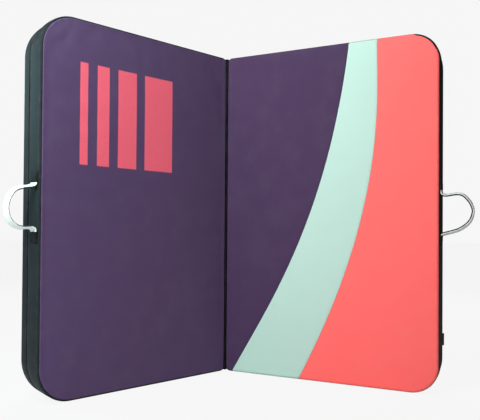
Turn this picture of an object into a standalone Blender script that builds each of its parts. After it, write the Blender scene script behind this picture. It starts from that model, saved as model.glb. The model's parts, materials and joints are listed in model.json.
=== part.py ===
# Folding bouldering crash pad, standing open like a book on its short edges.
# Metres, +Z up. X runs from one outer wall to the other, and the landing faces look towards -Y.
# Each half is drawn in its own frame: s runs from the fold line to the outer wall,
# depth runs from the landing face to the ground face, and z runs up.

from collections import namedtuple
from math import cos, pi, radians, sin

import bmesh
import bpy
from mathutils import Vector

# The two halves
HALF_WIDTH = 0.640
PAD_HEIGHT = 1.000
PAD_THICKNESS = 0.100
OPENING_DEG = 111.0
CORNER_RADIUS = 0.076
LEFT_CORNER_GROWTH = 0.018
GROUND_CORNER_GROWTH = 0.014
HINGE_CORNER_RADIUS = 0.012
HINGE_GAP = 0.0015
CLEARANCE = 0.0003
CUT_OVERRUN = 0.020
SMOOTH_DEG = 32
CORNER_STEPS = 6
HINGE_CORNER_STEPS = 3
RUN_STEPS = 3
INNER_ROUND_SHARE = 0.25

# Cover: crowned landing face, walls drawn in at their seams, flat ground face
FABRIC = 0.0012
LANDING_CROWN = 0.003
CROWN_REACH = 0.220
CROWN_RING_SHARES = (1.0, 0.5, 0.2, 0.07)
LANDING_ROLL = 0.009
GROUND_ROLL = 0.006
ROLL_STEPS = 3
HINGE_EDGE_SHARE = 0.55
FRONT_BULGE = 0.002
BACK_BULGE = 0.001
FRONT_BAND_STEPS = 4
BACK_BAND_STEPS = 2

# Sewn colour panels of the right landing face: each seam is a cubic curve,
# its four points being shares of the half's width and of the pad's height
INNER_SEAM_SHARES = ((0.0343, 0.0), (0.2121, 0.2044), (0.5165, 0.4724), (0.6107, 1.0))
OUTER_SEAM_SHARES = ((0.3764, 0.0), (0.8064, 0.5278), (0.7333, 0.8473), (0.7365, 1.0))
SEAM_STEPS = 12

# Foam layers; the open-cell core takes what the two closed-cell layers leave
TOP_FOAM = 0.020
BASE_FOAM = 0.020

# Fabric tape that joins the halves along the fold
TAPE_THICKNESS = 0.0008
TAPE_FRONT = 0.0035
TAPE_BACK = 0.022
TAPE_END_GAP = 0.004

# Zip round the outer walls, with its slider and puller
ZIP_DEPTH = 0.064
ZIP_WIDTH = 0.010
ZIP_RECESS = 0.0012
ZIP_TAPE = 0.0012
COIL_WIDTH = 0.005
COIL_HEIGHT = 0.0009
COIL_TOP_SHARE = 0.6
SLIDER_START = 0.040
SLIDER_LENGTH = 0.010
SLIDER_WIDTH = 0.009
SLIDER_BODY = 0.0025
BRIDGE_LENGTH = 0.006
BRIDGE_WIDTH = 0.003
BRIDGE_HEIGHT = 0.0032
BRIDGE_HOLE_LENGTH = 0.0036
BRIDGE_HOLE_HEIGHT = 0.0018
PULLER_BAR = 0.0012
PULLER_WINDOW = 0.006
PULLER_TAB = 0.020
PULLER_RAIL = 0.0014
PULLER_SLOT = 0.0036

# Grab handle on each outer wall, at mid height
HANDLE_DEPTH = 0.028
HANDLE_WEB_WIDTH = 0.030
HANDLE_WEB = 0.002
HANDLE_LINING_WIDTH = 0.020
HANDLE_LINING = 0.0028
HANDLE_HALF_MOUTH = 0.050
HANDLE_REACH = 0.086
HANDLE_ROOT = 0.016
HANDLE_ARC_STEPS = 10
BEND_STEPS = 4
PATCH_WIDTH = 0.034
PATCH_LENGTH = 0.028
PATCH_THICKNESS = 0.0028
PATCH_BEVEL = 0.0006

# Closure straps and buckles on the ground faces
WEB_WIDTH = 0.025
WEB_THICKNESS = 0.002
CLOSURE_END_INSET = 0.140
CLOSURE_OVERHANGS = {"lower": 0.003, "upper": -0.004}
CLOSURE_ROOT_INSET = 0.045
CLOSURE_STRAP_LENGTH = 0.240
CLOSURE_TAB_LENGTH = 0.022
BUCKLE_RAIL = 0.004
BUCKLE_BAR = 0.004
BUCKLE_SLOT = 0.005
BUCKLE_PLAY = 0.001
SOCKET_BODY = 0.026
SOCKET_THICKNESS = 0.008
SOCKET_LIP = 0.0016
SOCKET_RECESS = 0.003
CLIP_BASE = 0.008
CLIP_PRONG = 0.018
CLIP_CORE = 0.009
CLIP_THICKNESS = 0.005

# Hip belt on the right ground face, below the shoulder straps' lower ends
BELT_DROP = 0.080
BELT_WIDTH = 0.038
BELT_THICKNESS = 0.0025
BELT_LENGTH = 0.135
BELT_SPREAD = 0.395

# Shoulder straps on the right ground face
STRAP_SPACING = 0.200
STRAP_FROM_TOP = 0.200
STRAP_SPAN = 0.520
STRAP_ARCH = 0.075
STRAP_TOP_OUT = 0.020
STRAP_LOW_OUT = 0.014
STRAP_PAD_SHARE = 0.60
STRAP_PAD_WIDTH = 0.065
STRAP_PAD_THICKNESS = 0.012
STRAP_PAD_STEPS = 9
STRAP_END_WIDTH_SHARE = 0.7
STRAP_END_THICKNESS_SHARE = 0.6
STRAP_TAIL = 0.045
STRAP_TAIL_THICKNESS = 0.004
WEB_STEPS = 6
ADJUSTER_THICKNESS = 0.004
PAD_SECTION_SHARES = ((0.5, -0.38), (0.5, 0.38), (0.2, 0.5), (-0.2, 0.5),
                      (-0.5, 0.38), (-0.5, -0.38), (-0.2, -0.5), (0.2, -0.5))
WEB_SECTION_SHARES = ((0.5, -0.5), (0.5, 0.5), (-0.5, 0.5), (-0.5, -0.5))

# Worked out from the sizes above
HALF_ANGLE = radians(OPENING_DEG) / 2
FOAM_INSET = max(FABRIC, ZIP_RECESS + ZIP_TAPE) + CLEARANCE
FACE_INSET = FABRIC + CLEARANCE
TOP_FOAM_BACK = FACE_INSET + TOP_FOAM
BASE_FOAM_FRONT = PAD_THICKNESS - FACE_INSET - BASE_FOAM
GROUND_LEVEL = PAD_THICKNESS + CLEARANCE
SLIDER_FOOT = PAD_HEIGHT - ZIP_RECESS + COIL_HEIGHT + CLEARANCE
SLIDER_TOP = SLIDER_FOOT + SLIDER_BODY
HANDLE_HEIGHT = PAD_HEIGHT / 2
CLOSURE_HEIGHTS = {"lower": CLOSURE_END_INSET, "upper": PAD_HEIGHT - CLOSURE_END_INSET}
STRAP_TOP = PAD_HEIGHT - STRAP_FROM_TOP
STRAP_LOW = STRAP_TOP - STRAP_SPAN
BELT_HEIGHT = STRAP_LOW - BELT_DROP
WALL_WEB_OUT = FRONT_BULGE + CLEARANCE + HANDLE_WEB / 2
FOLD_FRONT_REACH = ((HALF_WIDTH + HANDLE_REACH + HANDLE_WEB / 2) * cos(HALF_ANGLE)
                    - (HANDLE_DEPTH - HANDLE_WEB_WIDTH / 2) * sin(HALF_ANGLE))
FOLD_BACK_REACH = PAD_THICKNESS * sin(HALF_ANGLE) - HINGE_GAP * cos(HALF_ANGLE)
FOLD_Y = (FOLD_FRONT_REACH - FOLD_BACK_REACH) / 2

COLOURS = {
    "plum": (0.085, 0.055, 0.125, 0.72, 0.0),
    "mint": (0.52, 0.72, 0.64, 0.72, 0.0),
    "coral": (1.0, 0.17, 0.15, 0.70, 0.0),
    "wall_black": (0.022, 0.030, 0.032, 0.66, 0.0),
    "ground_black": (0.015, 0.016, 0.018, 0.80, 0.0),
    "foam_grey": (0.30, 0.31, 0.33, 0.95, 0.0),
    "foam_cream": (0.75, 0.70, 0.55, 0.95, 0.0),
    "tape_dark": (0.025, 0.018, 0.035, 0.80, 0.0),
    "zip_black": (0.010, 0.010, 0.012, 0.45, 0.0),
    "metal": (0.42, 0.43, 0.45, 0.35, 1.0),
    "webbing_mint": (0.78, 0.88, 0.84, 0.75, 0.0),
    "webbing_black": (0.018, 0.018, 0.020, 0.80, 0.0),
    "buckle_black": (0.012, 0.012, 0.013, 0.35, 0.0),
    "strap_grey": (0.060, 0.062, 0.066, 0.85, 0.0),
}

Station = namedtuple("Station", "s z out_s out_z corner")
Half = namedtuple("Half", "name side frame")


def clear_scene():
    for thing in list(bpy.data.objects):
        bpy.data.objects.remove(thing)


def material(name):
    if name in bpy.data.materials:
        return bpy.data.materials[name]
    red, green, blue, roughness, metallic = COLOURS[name]
    made = bpy.data.materials.new(name)
    made.use_nodes = True
    shader = made.node_tree.nodes["Principled BSDF"]
    shader.inputs["Base Color"].default_value = (red, green, blue, 1)
    shader.inputs["Roughness"].default_value = roughness
    shader.inputs["Metallic"].default_value = metallic
    return made


def add_empty(name, parent, place):
    empty = bpy.data.objects.new(name, None)
    bpy.context.scene.collection.objects.link(empty)
    empty.parent = parent
    empty.location = place
    return empty


def place_in_half(empty):
    """Where an empty stands in its half's frame; the half's own empty is the origin."""
    if empty.parent is None or empty.parent.parent is None:
        return Vector((0, 0, 0))
    return place_in_half(empty.parent) + empty.location


def add_part(name, bm, colour, parent):
    """Turns a bmesh drawn in the half's frame into an object under the given empty."""
    bmesh.ops.recalc_face_normals(bm, faces=bm.faces)
    if bm.calc_volume(signed=True) < 0:
        bmesh.ops.reverse_faces(bm, faces=bm.faces)
    bmesh.ops.translate(bm, verts=bm.verts, vec=-place_in_half(parent))
    mesh = bpy.data.meshes.new(name)
    bm.to_mesh(mesh)
    bm.free()
    mesh.shade_smooth()
    mesh.set_sharp_from_angle(angle=radians(SMOOTH_DEG))
    mesh.materials.append(material(colour))
    made = bpy.data.objects.new(name, mesh)
    bpy.context.scene.collection.objects.link(made)
    made.parent = parent
    return made


def cut(target, name, operation, bm, parent):
    cutter = add_part(name, bm, "zip_black", parent)
    cutter.hide_render = True
    cutter.display_type = "WIRE"
    boolean = target.modifiers.new(name, "BOOLEAN")
    boolean.operation = operation
    boolean.solver = "EXACT"
    boolean.object = cutter


def loft(loops):
    """One closed body through loops of equal length, with a face on its first and last loop."""
    bm = bmesh.new()
    rows = [[bm.verts.new(point) for point in loop] for loop in loops]
    for row, after in zip(rows, rows[1:]):
        for i in range(len(row)):
            j = (i + 1) % len(row)
            bm.faces.new((row[i], row[j], after[j], after[i]))
    bm.faces.new(rows[0])
    bm.faces.new(rows[-1])
    return bm


def box(low, high):
    bm = bmesh.new()
    bmesh.ops.create_cube(bm, size=1)
    low = Vector(low)
    high = Vector(high)
    bmesh.ops.scale(bm, vec=high - low, verts=bm.verts)
    bmesh.ops.translate(bm, vec=(low + high) / 2, verts=bm.verts)
    return bm


def side_box(side, s_range, depth_range, z_range):
    """A box given in s, depth and z of one half."""
    near, far = sorted(side * s for s in s_range)
    return box((near, depth_range[0], z_range[0]), (far, depth_range[1], z_range[1]))


# Outline of a half

def corner(centre_s, centre_z, radius, start, steps, mark=0):
    for i in range(steps + 1):
        angle = start + i / steps * pi / 2
        yield Station(centre_s + radius * cos(angle), centre_z + radius * sin(angle),
                      cos(angle), sin(angle), mark)


def run(first, last):
    """The stations between two corners, without the corners' own ends."""
    for i in range(1, RUN_STEPS):
        share = i / RUN_STEPS
        yield Station(first.s + share * (last.s - first.s), first.z + share * (last.z - first.z),
                      last.out_s, last.out_z, 0)


def outline(inset, closed):
    """Stations from the hinge wall's foot round the bottom, the outer wall and the top.
    Those of the outer corners are marked -1 at the bottom and 1 at the top."""
    low_s = HINGE_GAP + inset
    high_s = HALF_WIDTH - inset
    low_z = inset
    high_z = PAD_HEIGHT - inset
    big = max(CORNER_RADIUS - inset, CORNER_RADIUS * INNER_ROUND_SHARE)
    small = max(HINGE_CORNER_RADIUS - inset, HINGE_CORNER_RADIUS * INNER_ROUND_SHARE)
    corners = [
        list(corner(low_s + small, low_z + small, small, pi, HINGE_CORNER_STEPS)),
        list(corner(high_s - big, low_z + big, big, 3 * pi / 2, CORNER_STEPS, -1)),
        list(corner(high_s - big, high_z - big, big, 0, CORNER_STEPS, 1)),
        list(corner(low_s + small, high_z - small, small, pi / 2, HINGE_CORNER_STEPS)),
    ]
    stations = list(corners[0])
    for before, after in zip(corners, corners[1:]):
        stations += run(before[-1], after[0])
        stations += after
    if closed:
        stations += run(corners[-1][-1], corners[0][0])
    return stations


def edge_share(station):
    """The rolled edges are full size round the pad and smaller along the fold."""
    return 1 - (1 - HINGE_EDGE_SHARE) * max(0, -station.out_s)


def bulge_share(station):
    """Walls swell at the top and outer sides, and stay flat to stand on and to fold."""
    return (1 - max(0, -station.out_s)) * (1 - max(0, -station.out_z))


def corner_growth(side, depth):
    """The outer corners are rounder on the left half, and towards the ground faces."""
    front = LANDING_CROWN + LANDING_ROLL
    back = PAD_THICKNESS - GROUND_ROLL
    share = min(1, max(0, (depth - front) / (back - front)))
    return share * GROUND_CORNER_GROWTH + (LEFT_CORNER_GROWTH if side < 0 else 0)


def spot(side, station, inset, depth):
    grown = corner_growth(side, depth) * abs(station.corner)
    return Vector((side * (station.s - inset * station.out_s - grown * (1 - station.out_s)), depth,
                   station.z - inset * station.out_z - grown * (station.corner - station.out_z)))


def landing_seam(station):
    return edge_share(station) * (LANDING_CROWN + LANDING_ROLL)


def ground_seam(station):
    return PAD_THICKNESS - edge_share(station) * GROUND_ROLL


# Rings that follow the landing face, from its middle out and over the rolled edge

def crown_rings(side, face_inset):
    rings = []
    for share in CROWN_RING_SHARES:
        inset = LANDING_ROLL + share * (CROWN_REACH - LANDING_ROLL)
        fall = LANDING_CROWN * (1 - share) ** 2
        rings.append([spot(side, station, 0, edge_share(station) * fall + face_inset)
                      for station in outline(inset, True)])
    return rings


def landing_roll_rings(side, wall_inset, face_inset):
    rings = []
    for step in range(ROLL_STEPS + 1):
        angle = step / ROLL_STEPS * pi / 2
        ring = []
        for station in outline(0, True):
            roll = edge_share(station) * LANDING_ROLL
            inset = roll - (roll - wall_inset) * sin(angle)
            depth = landing_seam(station) - (roll - face_inset) * cos(angle)
            ring.append(spot(side, station, inset, depth))
        rings.append(ring)
    return rings


def ground_roll_rings(side, wall_inset, face_inset):
    rings = []
    for step in range(ROLL_STEPS + 1):
        angle = step / ROLL_STEPS * pi / 2
        ring = []
        for station in outline(0, True):
            roll = edge_share(station) * GROUND_ROLL
            inset = roll - (roll - wall_inset) * sin(angle)
            depth = ground_seam(station) + (roll - face_inset) * cos(angle)
            ring.append(spot(side, station, inset, depth))
        rings.append(ring)
    return rings


def wall_ring(side, inset, depth):
    return [spot(side, station, inset, depth) for station in outline(0, True)]


def landing_skin(side):
    outside = crown_rings(side, 0) + landing_roll_rings(side, 0, 0)
    inside = crown_rings(side, FABRIC) + landing_roll_rings(side, FABRIC, FABRIC)
    return loft(outside + inside[::-1])


def ground_skin(side):
    outside = ground_roll_rings(side, 0, 0)
    inside = ground_roll_rings(side, FABRIC, FABRIC)
    return loft(outside + inside[::-1])


def band(side, start, end, bulge, steps):
    """A wall strip swept round the bottom, outer side and top; start and end give its depths."""
    loops = []
    for station in outline(0, False):
        first = start(station)
        last = end(station)
        swell = bulge * bulge_share(station)
        rows = [(swell * sin(pi * i / steps), first + (last - first) * i / steps)
                for i in range(steps + 1)]
        outside = [spot(side, station, -out, depth) for out, depth in rows]
        inside = [spot(side, station, FABRIC - out, depth) for out, depth in reversed(rows)]
        loops.append(outside + inside)
    return loft(loops)


def front_band(side):
    return band(side, lambda station: landing_seam(station) + CLEARANCE,
                lambda station: ZIP_DEPTH - ZIP_WIDTH / 2 - CLEARANCE,
                FRONT_BULGE, FRONT_BAND_STEPS)


def back_band(side):
    return band(side, lambda station: ZIP_DEPTH + ZIP_WIDTH / 2 + CLEARANCE,
                lambda station: ground_seam(station) - CLEARANCE,
                BACK_BULGE, BACK_BAND_STEPS)


def zip_strip(side):
    """Both tapes and the closed coil that stands out of them."""
    half_tape = ZIP_WIDTH / 2
    half_coil = COIL_WIDTH / 2
    half_top = half_coil * COIL_TOP_SHARE
    coil_inset = ZIP_RECESS - COIL_HEIGHT
    back_inset = ZIP_RECESS + ZIP_TAPE
    section = [(ZIP_RECESS, -half_tape), (ZIP_RECESS, -half_coil), (coil_inset, -half_top),
               (coil_inset, half_top), (ZIP_RECESS, half_coil), (ZIP_RECESS, half_tape),
               (back_inset, half_tape), (back_inset, -half_tape)]
    return loft([[spot(side, station, inset, ZIP_DEPTH + along) for inset, along in section]
                 for station in outline(0, False)])


def hinge_wall(side):
    foot = outline(0, False)[0]
    low = HINGE_CORNER_RADIUS + CLEARANCE
    return side_box(side, (HINGE_GAP, HINGE_GAP + FABRIC),
                    (landing_seam(foot) + CLEARANCE, ground_seam(foot) - CLEARANCE),
                    (low, PAD_HEIGHT - low))


def top_foam(side):
    rings = crown_rings(side, FACE_INSET) + landing_roll_rings(side, FOAM_INSET, FACE_INSET)
    return loft(rings + [wall_ring(side, FOAM_INSET, TOP_FOAM_BACK)])


def core_foam(side):
    return loft([wall_ring(side, FOAM_INSET, TOP_FOAM_BACK + CLEARANCE),
                 wall_ring(side, FOAM_INSET, BASE_FOAM_FRONT - CLEARANCE)])


def base_foam(side):
    rings = ground_roll_rings(side, FOAM_INSET, FACE_INSET)
    return loft(rings + [wall_ring(side, FOAM_INSET, BASE_FOAM_FRONT)])


# Colour panels

def seam_curve(shares):
    """Points up a seam, with both ends run on past the pad's edges."""
    a, b, c, d = [Vector((s * HALF_WIDTH, z * PAD_HEIGHT)) for s, z in shares]
    points = []
    for i in range(SEAM_STEPS + 1):
        t = i / SEAM_STEPS
        points.append((1 - t) ** 3 * a + 3 * t * (1 - t) ** 2 * b + 3 * t ** 2 * (1 - t) * c + t ** 3 * d)
    low = (points[0] - points[1]).normalized() * CUT_OVERRUN
    high = (points[-1] - points[-2]).normalized() * CUT_OVERRUN
    return [points[0] + low] + points + [points[-1] + high]


def shifted(points, distance):
    """The curve moved sideways, towards the outer wall for a positive distance."""
    moved = []
    for i, point in enumerate(points):
        along = points[min(i + 1, len(points) - 1)] - points[max(i - 1, 0)]
        moved.append(point + Vector((along.y, -along.x)).normalized() * distance)
    return moved


def colour_region(left_edge, right_edge):
    outline_points = list(left_edge) + list(reversed(right_edge))
    return loft([[Vector((point.x, depth, point.y)) for point in outline_points]
                 for depth in (-CUT_OVERRUN, PAD_THICKNESS)])


def straight_edge(like, s):
    return [Vector((s, point.y)) for point in (like[0], like[-1])]


def add_colour_panels(half):
    inner = seam_curve(INNER_SEAM_SHARES)
    outer = seam_curve(OUTER_SEAM_SHARES)
    near = straight_edge(inner, -CUT_OVERRUN)
    far = straight_edge(outer, HALF_WIDTH + CUT_OVERRUN)
    slit = CLEARANCE / 2
    regions = {
        "plum": (near, shifted(inner, -slit)),
        "mint": (shifted(inner, slit), shifted(outer, -slit)),
        "coral": (shifted(outer, slit), far),
    }
    for colour, (left_edge, right_edge) in regions.items():
        panel = add_part(f"{half.name}_{colour}_panel", landing_skin(half.side), colour, half.frame)
        cut(panel, f"{colour}_region", "INTERSECT", colour_region(left_edge, right_edge), half.frame)


# Webbing and padded straps that run along a path

def ribbon(path, thicknesses, widths, section, to_space):
    """A strap along a flat path; to_space turns (out, up, across) into a point of the half."""
    loops = []
    for i, point in enumerate(path):
        along = path[min(i + 1, len(path) - 1)] - path[max(i - 1, 0)]
        normal = Vector((-along.y, along.x)).normalized()
        loop = []
        for thick_share, wide_share in section:
            flat = point + normal * (thick_share * thicknesses[i])
            loop.append(to_space(flat.x, flat.y, wide_share * widths[i]))
        loops.append(loop)
    return loft(loops)


def even_ribbon(path, thickness, width, to_space):
    return ribbon(path, [thickness] * len(path), [width] * len(path), WEB_SECTION_SHARES, to_space)


def smooth_path(start, start_along, end, end_along, steps):
    """A cubic curve between two points, leaving and arriving along the given directions."""
    reach = (end - start).length
    points = []
    for i in range(steps + 1):
        t = i / steps
        points.append(start * (2 * t ** 3 - 3 * t ** 2 + 1)
                      + start_along.normalized() * reach * (t ** 3 - 2 * t ** 2 + t)
                      + end * (3 * t ** 2 - 2 * t ** 3)
                      + end_along.normalized() * reach * (t ** 3 - t ** 2))
    return points


def cell_plate(lengths, widths, holes, thickness):
    """A plate on a grid of cells, with some left open; it starts at the origin and runs along +X."""
    bm = bmesh.new()
    bmesh.ops.create_grid(bm, x_segments=len(lengths), y_segments=len(widths), size=0.5)
    for vert in bm.verts:
        column = round((vert.co.x + 0.5) * len(lengths))
        row = round((vert.co.y + 0.5) * len(widths))
        vert.co = (sum(lengths[:column]), sum(widths[:row]) - sum(widths) / 2, 0)
    open_faces = []
    for column, row in holes:
        middle = Vector((sum(lengths[:column]) + lengths[column] / 2,
                         sum(widths[:row]) + widths[row] / 2 - sum(widths) / 2, 0))
        open_faces.append(min(bm.faces, key=lambda face: (face.calc_center_median() - middle).length))
    bmesh.ops.delete(bm, geom=open_faces, context="FACES")
    made = bmesh.ops.extrude_face_region(bm, geom=bm.faces[:], use_keep_orig=True)
    top = [item for item in made["geom"] if isinstance(item, bmesh.types.BMVert)]
    bmesh.ops.translate(bm, verts=top, vec=(0, 0, thickness))
    return bm


def lay_plate(bm, along, across, up, place):
    """Puts a plate's X, Y and Z along the given directions, with its start at the place."""
    for vert in bm.verts:
        vert.co = place + along * vert.co.x + across * vert.co.y + up * vert.co.z
    return bm


# Zip slider and puller, on the top run of the zip near the fold

def add_zip_slider(half):
    side = half.side
    middle = Vector((side * SLIDER_START, ZIP_DEPTH, SLIDER_TOP))
    slide = add_empty(f"{half.name}_slider_slide", half.frame, middle)
    body = side_box(side, (SLIDER_START - SLIDER_LENGTH / 2, SLIDER_START + SLIDER_LENGTH / 2),
                    (ZIP_DEPTH - SLIDER_WIDTH / 2, ZIP_DEPTH + SLIDER_WIDTH / 2),
                    (SLIDER_FOOT, SLIDER_TOP))
    slider = add_part(f"{half.name}_zip_slider", body, "metal", slide)
    bridge = side_box(side, (SLIDER_START - BRIDGE_LENGTH / 2, SLIDER_START + BRIDGE_LENGTH / 2),
                      (ZIP_DEPTH - BRIDGE_WIDTH / 2, ZIP_DEPTH + BRIDGE_WIDTH / 2),
                      (SLIDER_TOP - SLIDER_BODY / 2, SLIDER_TOP + BRIDGE_HEIGHT))
    cut(slider, f"{half.name}_slider_bridge", "UNION", bridge, slide)
    hole = side_box(side, (SLIDER_START - BRIDGE_HOLE_LENGTH / 2, SLIDER_START + BRIDGE_HOLE_LENGTH / 2),
                    (ZIP_DEPTH - BRIDGE_WIDTH, ZIP_DEPTH + BRIDGE_WIDTH),
                    (SLIDER_TOP, SLIDER_TOP + BRIDGE_HOLE_HEIGHT))
    cut(slider, f"{half.name}_slider_eye", "DIFFERENCE", hole, slide)

    pin = Vector((0, 0, BRIDGE_HOLE_HEIGHT / 2))
    hinge = add_empty(f"{half.name}_puller_pivot", slide, pin)
    plate = cell_plate((PULLER_BAR, PULLER_WINDOW, PULLER_TAB),
                       (PULLER_RAIL, PULLER_SLOT, PULLER_RAIL), ((1, 1),), PULLER_BAR)
    start = middle + pin + Vector((-side * PULLER_BAR / 2, 0, -PULLER_BAR / 2))
    lay_plate(plate, Vector((side, 0, 0)), Vector((0, 1, 0)), Vector((0, 0, 1)), start)
    add_part(f"{half.name}_zip_puller", plate, "metal", hinge)


# Grab handle

def handle_path(half_mouth):
    """Out of the wall, round a half circle and back, as distance off the wall and height."""
    arc_out = HANDLE_REACH - HANDLE_HALF_MOUTH
    path = [Vector((HANDLE_ROOT, HANDLE_HEIGHT + half_mouth))]
    for i in range(HANDLE_ARC_STEPS + 1):
        angle = pi / 2 - i / HANDLE_ARC_STEPS * pi
        path.append(Vector((arc_out + half_mouth * cos(angle), HANDLE_HEIGHT + half_mouth * sin(angle))))
    path.append(Vector((HANDLE_ROOT, HANDLE_HEIGHT - half_mouth)))
    return path


def add_grab_handle(half):
    side = half.side
    pivot = add_empty(f"{half.name}_handle_pivot", half.frame,
                      Vector((side * (HALF_WIDTH + WALL_WEB_OUT), HANDLE_DEPTH, HANDLE_HEIGHT)))

    def to_space(out, up, across):
        return Vector((side * (HALF_WIDTH + out), HANDLE_DEPTH + across, up))

    lining_half_mouth = HANDLE_HALF_MOUTH - HANDLE_WEB / 2 - CLEARANCE - HANDLE_LINING / 2
    add_part(f"{half.name}_handle_loop", even_ribbon(handle_path(HANDLE_HALF_MOUTH), HANDLE_WEB,
                                                     HANDLE_WEB_WIDTH, to_space),
             "webbing_mint", pivot)
    add_part(f"{half.name}_handle_lining", even_ribbon(handle_path(lining_half_mouth), HANDLE_LINING,
                                                       HANDLE_LINING_WIDTH, to_space),
             "webbing_black", pivot)

    bend_radius = HANDLE_ROOT - CLEARANCE - WALL_WEB_OUT
    for name, up in (("upper", 1), ("lower", -1)):
        bend = []
        for i in range(BEND_STEPS + 1):
            angle = i / BEND_STEPS * pi / 2
            bend.append(Vector((WALL_WEB_OUT + bend_radius * (1 - cos(angle)),
                                HANDLE_HEIGHT + up * (HANDLE_HALF_MOUTH + bend_radius * (1 - sin(angle))))))
        add_part(f"{half.name}_handle_{name}_bend",
                 even_ribbon(bend, HANDLE_WEB, HANDLE_WEB_WIDTH, to_space), "webbing_mint", half.frame)
        near = HANDLE_HALF_MOUTH + bend_radius + CLEARANCE
        ends = sorted(HANDLE_HEIGHT + up * reach for reach in (near, near + PATCH_LENGTH))
        first = HALF_WIDTH + FRONT_BULGE + CLEARANCE
        patch = side_box(side, (first, first + PATCH_THICKNESS),
                         (HANDLE_DEPTH - PATCH_WIDTH / 2, HANDLE_DEPTH + PATCH_WIDTH / 2), ends)
        bmesh.ops.bevel(patch, geom=patch.edges[:], offset=PATCH_BEVEL, segments=1, affect="EDGES")
        add_part(f"{half.name}_handle_{name}_patch", patch, "webbing_black", half.frame)


# Side-release buckles: the clip carries two springy prongs, the socket takes them

def clip_plate(web_width):
    gap = (web_width + BUCKLE_PLAY - CLIP_CORE) / 2
    holes = [(1, 1), (1, 2), (1, 3), (3, 1), (3, 3)]
    return cell_plate((BUCKLE_BAR, BUCKLE_SLOT, CLIP_BASE, CLIP_PRONG),
                      (BUCKLE_RAIL, gap, CLIP_CORE, gap, BUCKLE_RAIL), holes, CLIP_THICKNESS)


def socket_plate(web_width):
    bm = cell_plate((BUCKLE_BAR, BUCKLE_SLOT, SOCKET_BODY),
                    (BUCKLE_RAIL, web_width + BUCKLE_PLAY, BUCKLE_RAIL), [(1, 1)], SOCKET_THICKNESS)
    length = BUCKLE_BAR + BUCKLE_SLOT + SOCKET_BODY
    mouth = [face for face in bm.faces if abs(face.calc_center_median().x - length) < CLEARANCE]
    bmesh.ops.inset_region(bm, faces=mouth, thickness=SOCKET_LIP, use_even_offset=True)
    pushed = bmesh.ops.extrude_face_region(bm, geom=mouth)
    inner = [item for item in pushed["geom"] if isinstance(item, bmesh.types.BMVert)]
    bmesh.ops.translate(bm, verts=inner, vec=(-SOCKET_RECESS, 0, 0))
    bmesh.ops.delete(bm, geom=mouth, context="FACES")
    return bm


def add_flat_strap(half, name, root_s, toward, height, length, width, thickness, buckle):
    """A strap lying on the ground face, sewn down at its root, with a buckle at its free end."""
    side = half.side
    pivot = add_empty(f"{name}_pivot", half.frame,
                      Vector((side * root_s, GROUND_LEVEL + thickness, height)))
    strap = side_box(side, (root_s, root_s + toward * length),
                     (GROUND_LEVEL, GROUND_LEVEL + thickness),
                     (height - width / 2, height + width / 2))
    add_part(f"{name}_web", strap, "webbing_black", pivot)
    plate = clip_plate(width) if buckle == "clip" else socket_plate(width)
    start = Vector((side * (root_s + toward * (length + CLEARANCE)), GROUND_LEVEL, height))
    lay_plate(plate, Vector((side * toward, 0, 0)), Vector((0, 0, 1)), Vector((0, 1, 0)), start)
    add_part(f"{name}_{buckle}", plate, "buckle_black", pivot)


def add_closure_straps(left, right):
    socket_length = BUCKLE_BAR + BUCKLE_SLOT + SOCKET_BODY
    for name, height in CLOSURE_HEIGHTS.items():
        add_flat_strap(left, f"closure_{name}_strap", HALF_WIDTH - CLOSURE_ROOT_INSET, -1, height,
                       CLOSURE_STRAP_LENGTH, WEB_WIDTH, WEB_THICKNESS, "clip")
        root = (HALF_WIDTH + CLOSURE_OVERHANGS[name] - socket_length - CLEARANCE - CLOSURE_TAB_LENGTH)
        add_flat_strap(right, f"closure_{name}_tab", root, 1, height,
                       CLOSURE_TAB_LENGTH, WEB_WIDTH, WEB_THICKNESS, "socket")


def add_hip_belt(half):
    middle = HALF_WIDTH / 2
    add_flat_strap(half, "hip_belt_outer", middle + BELT_SPREAD / 2, -1, BELT_HEIGHT,
                   BELT_LENGTH, BELT_WIDTH, BELT_THICKNESS, "clip")
    add_flat_strap(half, "hip_belt_inner", middle - BELT_SPREAD / 2, 1, BELT_HEIGHT,
                   BELT_LENGTH, BELT_WIDTH, BELT_THICKNESS, "socket")


# Shoulder straps

def strap_arch(share):
    """The strap's middle line, as distance off the ground face and height."""
    out = STRAP_TOP_OUT + share * (STRAP_LOW_OUT - STRAP_TOP_OUT) + STRAP_ARCH * sin(pi * share)
    return Vector((out, STRAP_TOP + share * (STRAP_LOW - STRAP_TOP)))


def strap_heading(share):
    rise = STRAP_LOW_OUT - STRAP_TOP_OUT + STRAP_ARCH * pi * cos(pi * share)
    return Vector((rise, STRAP_LOW - STRAP_TOP)).normalized()


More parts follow.
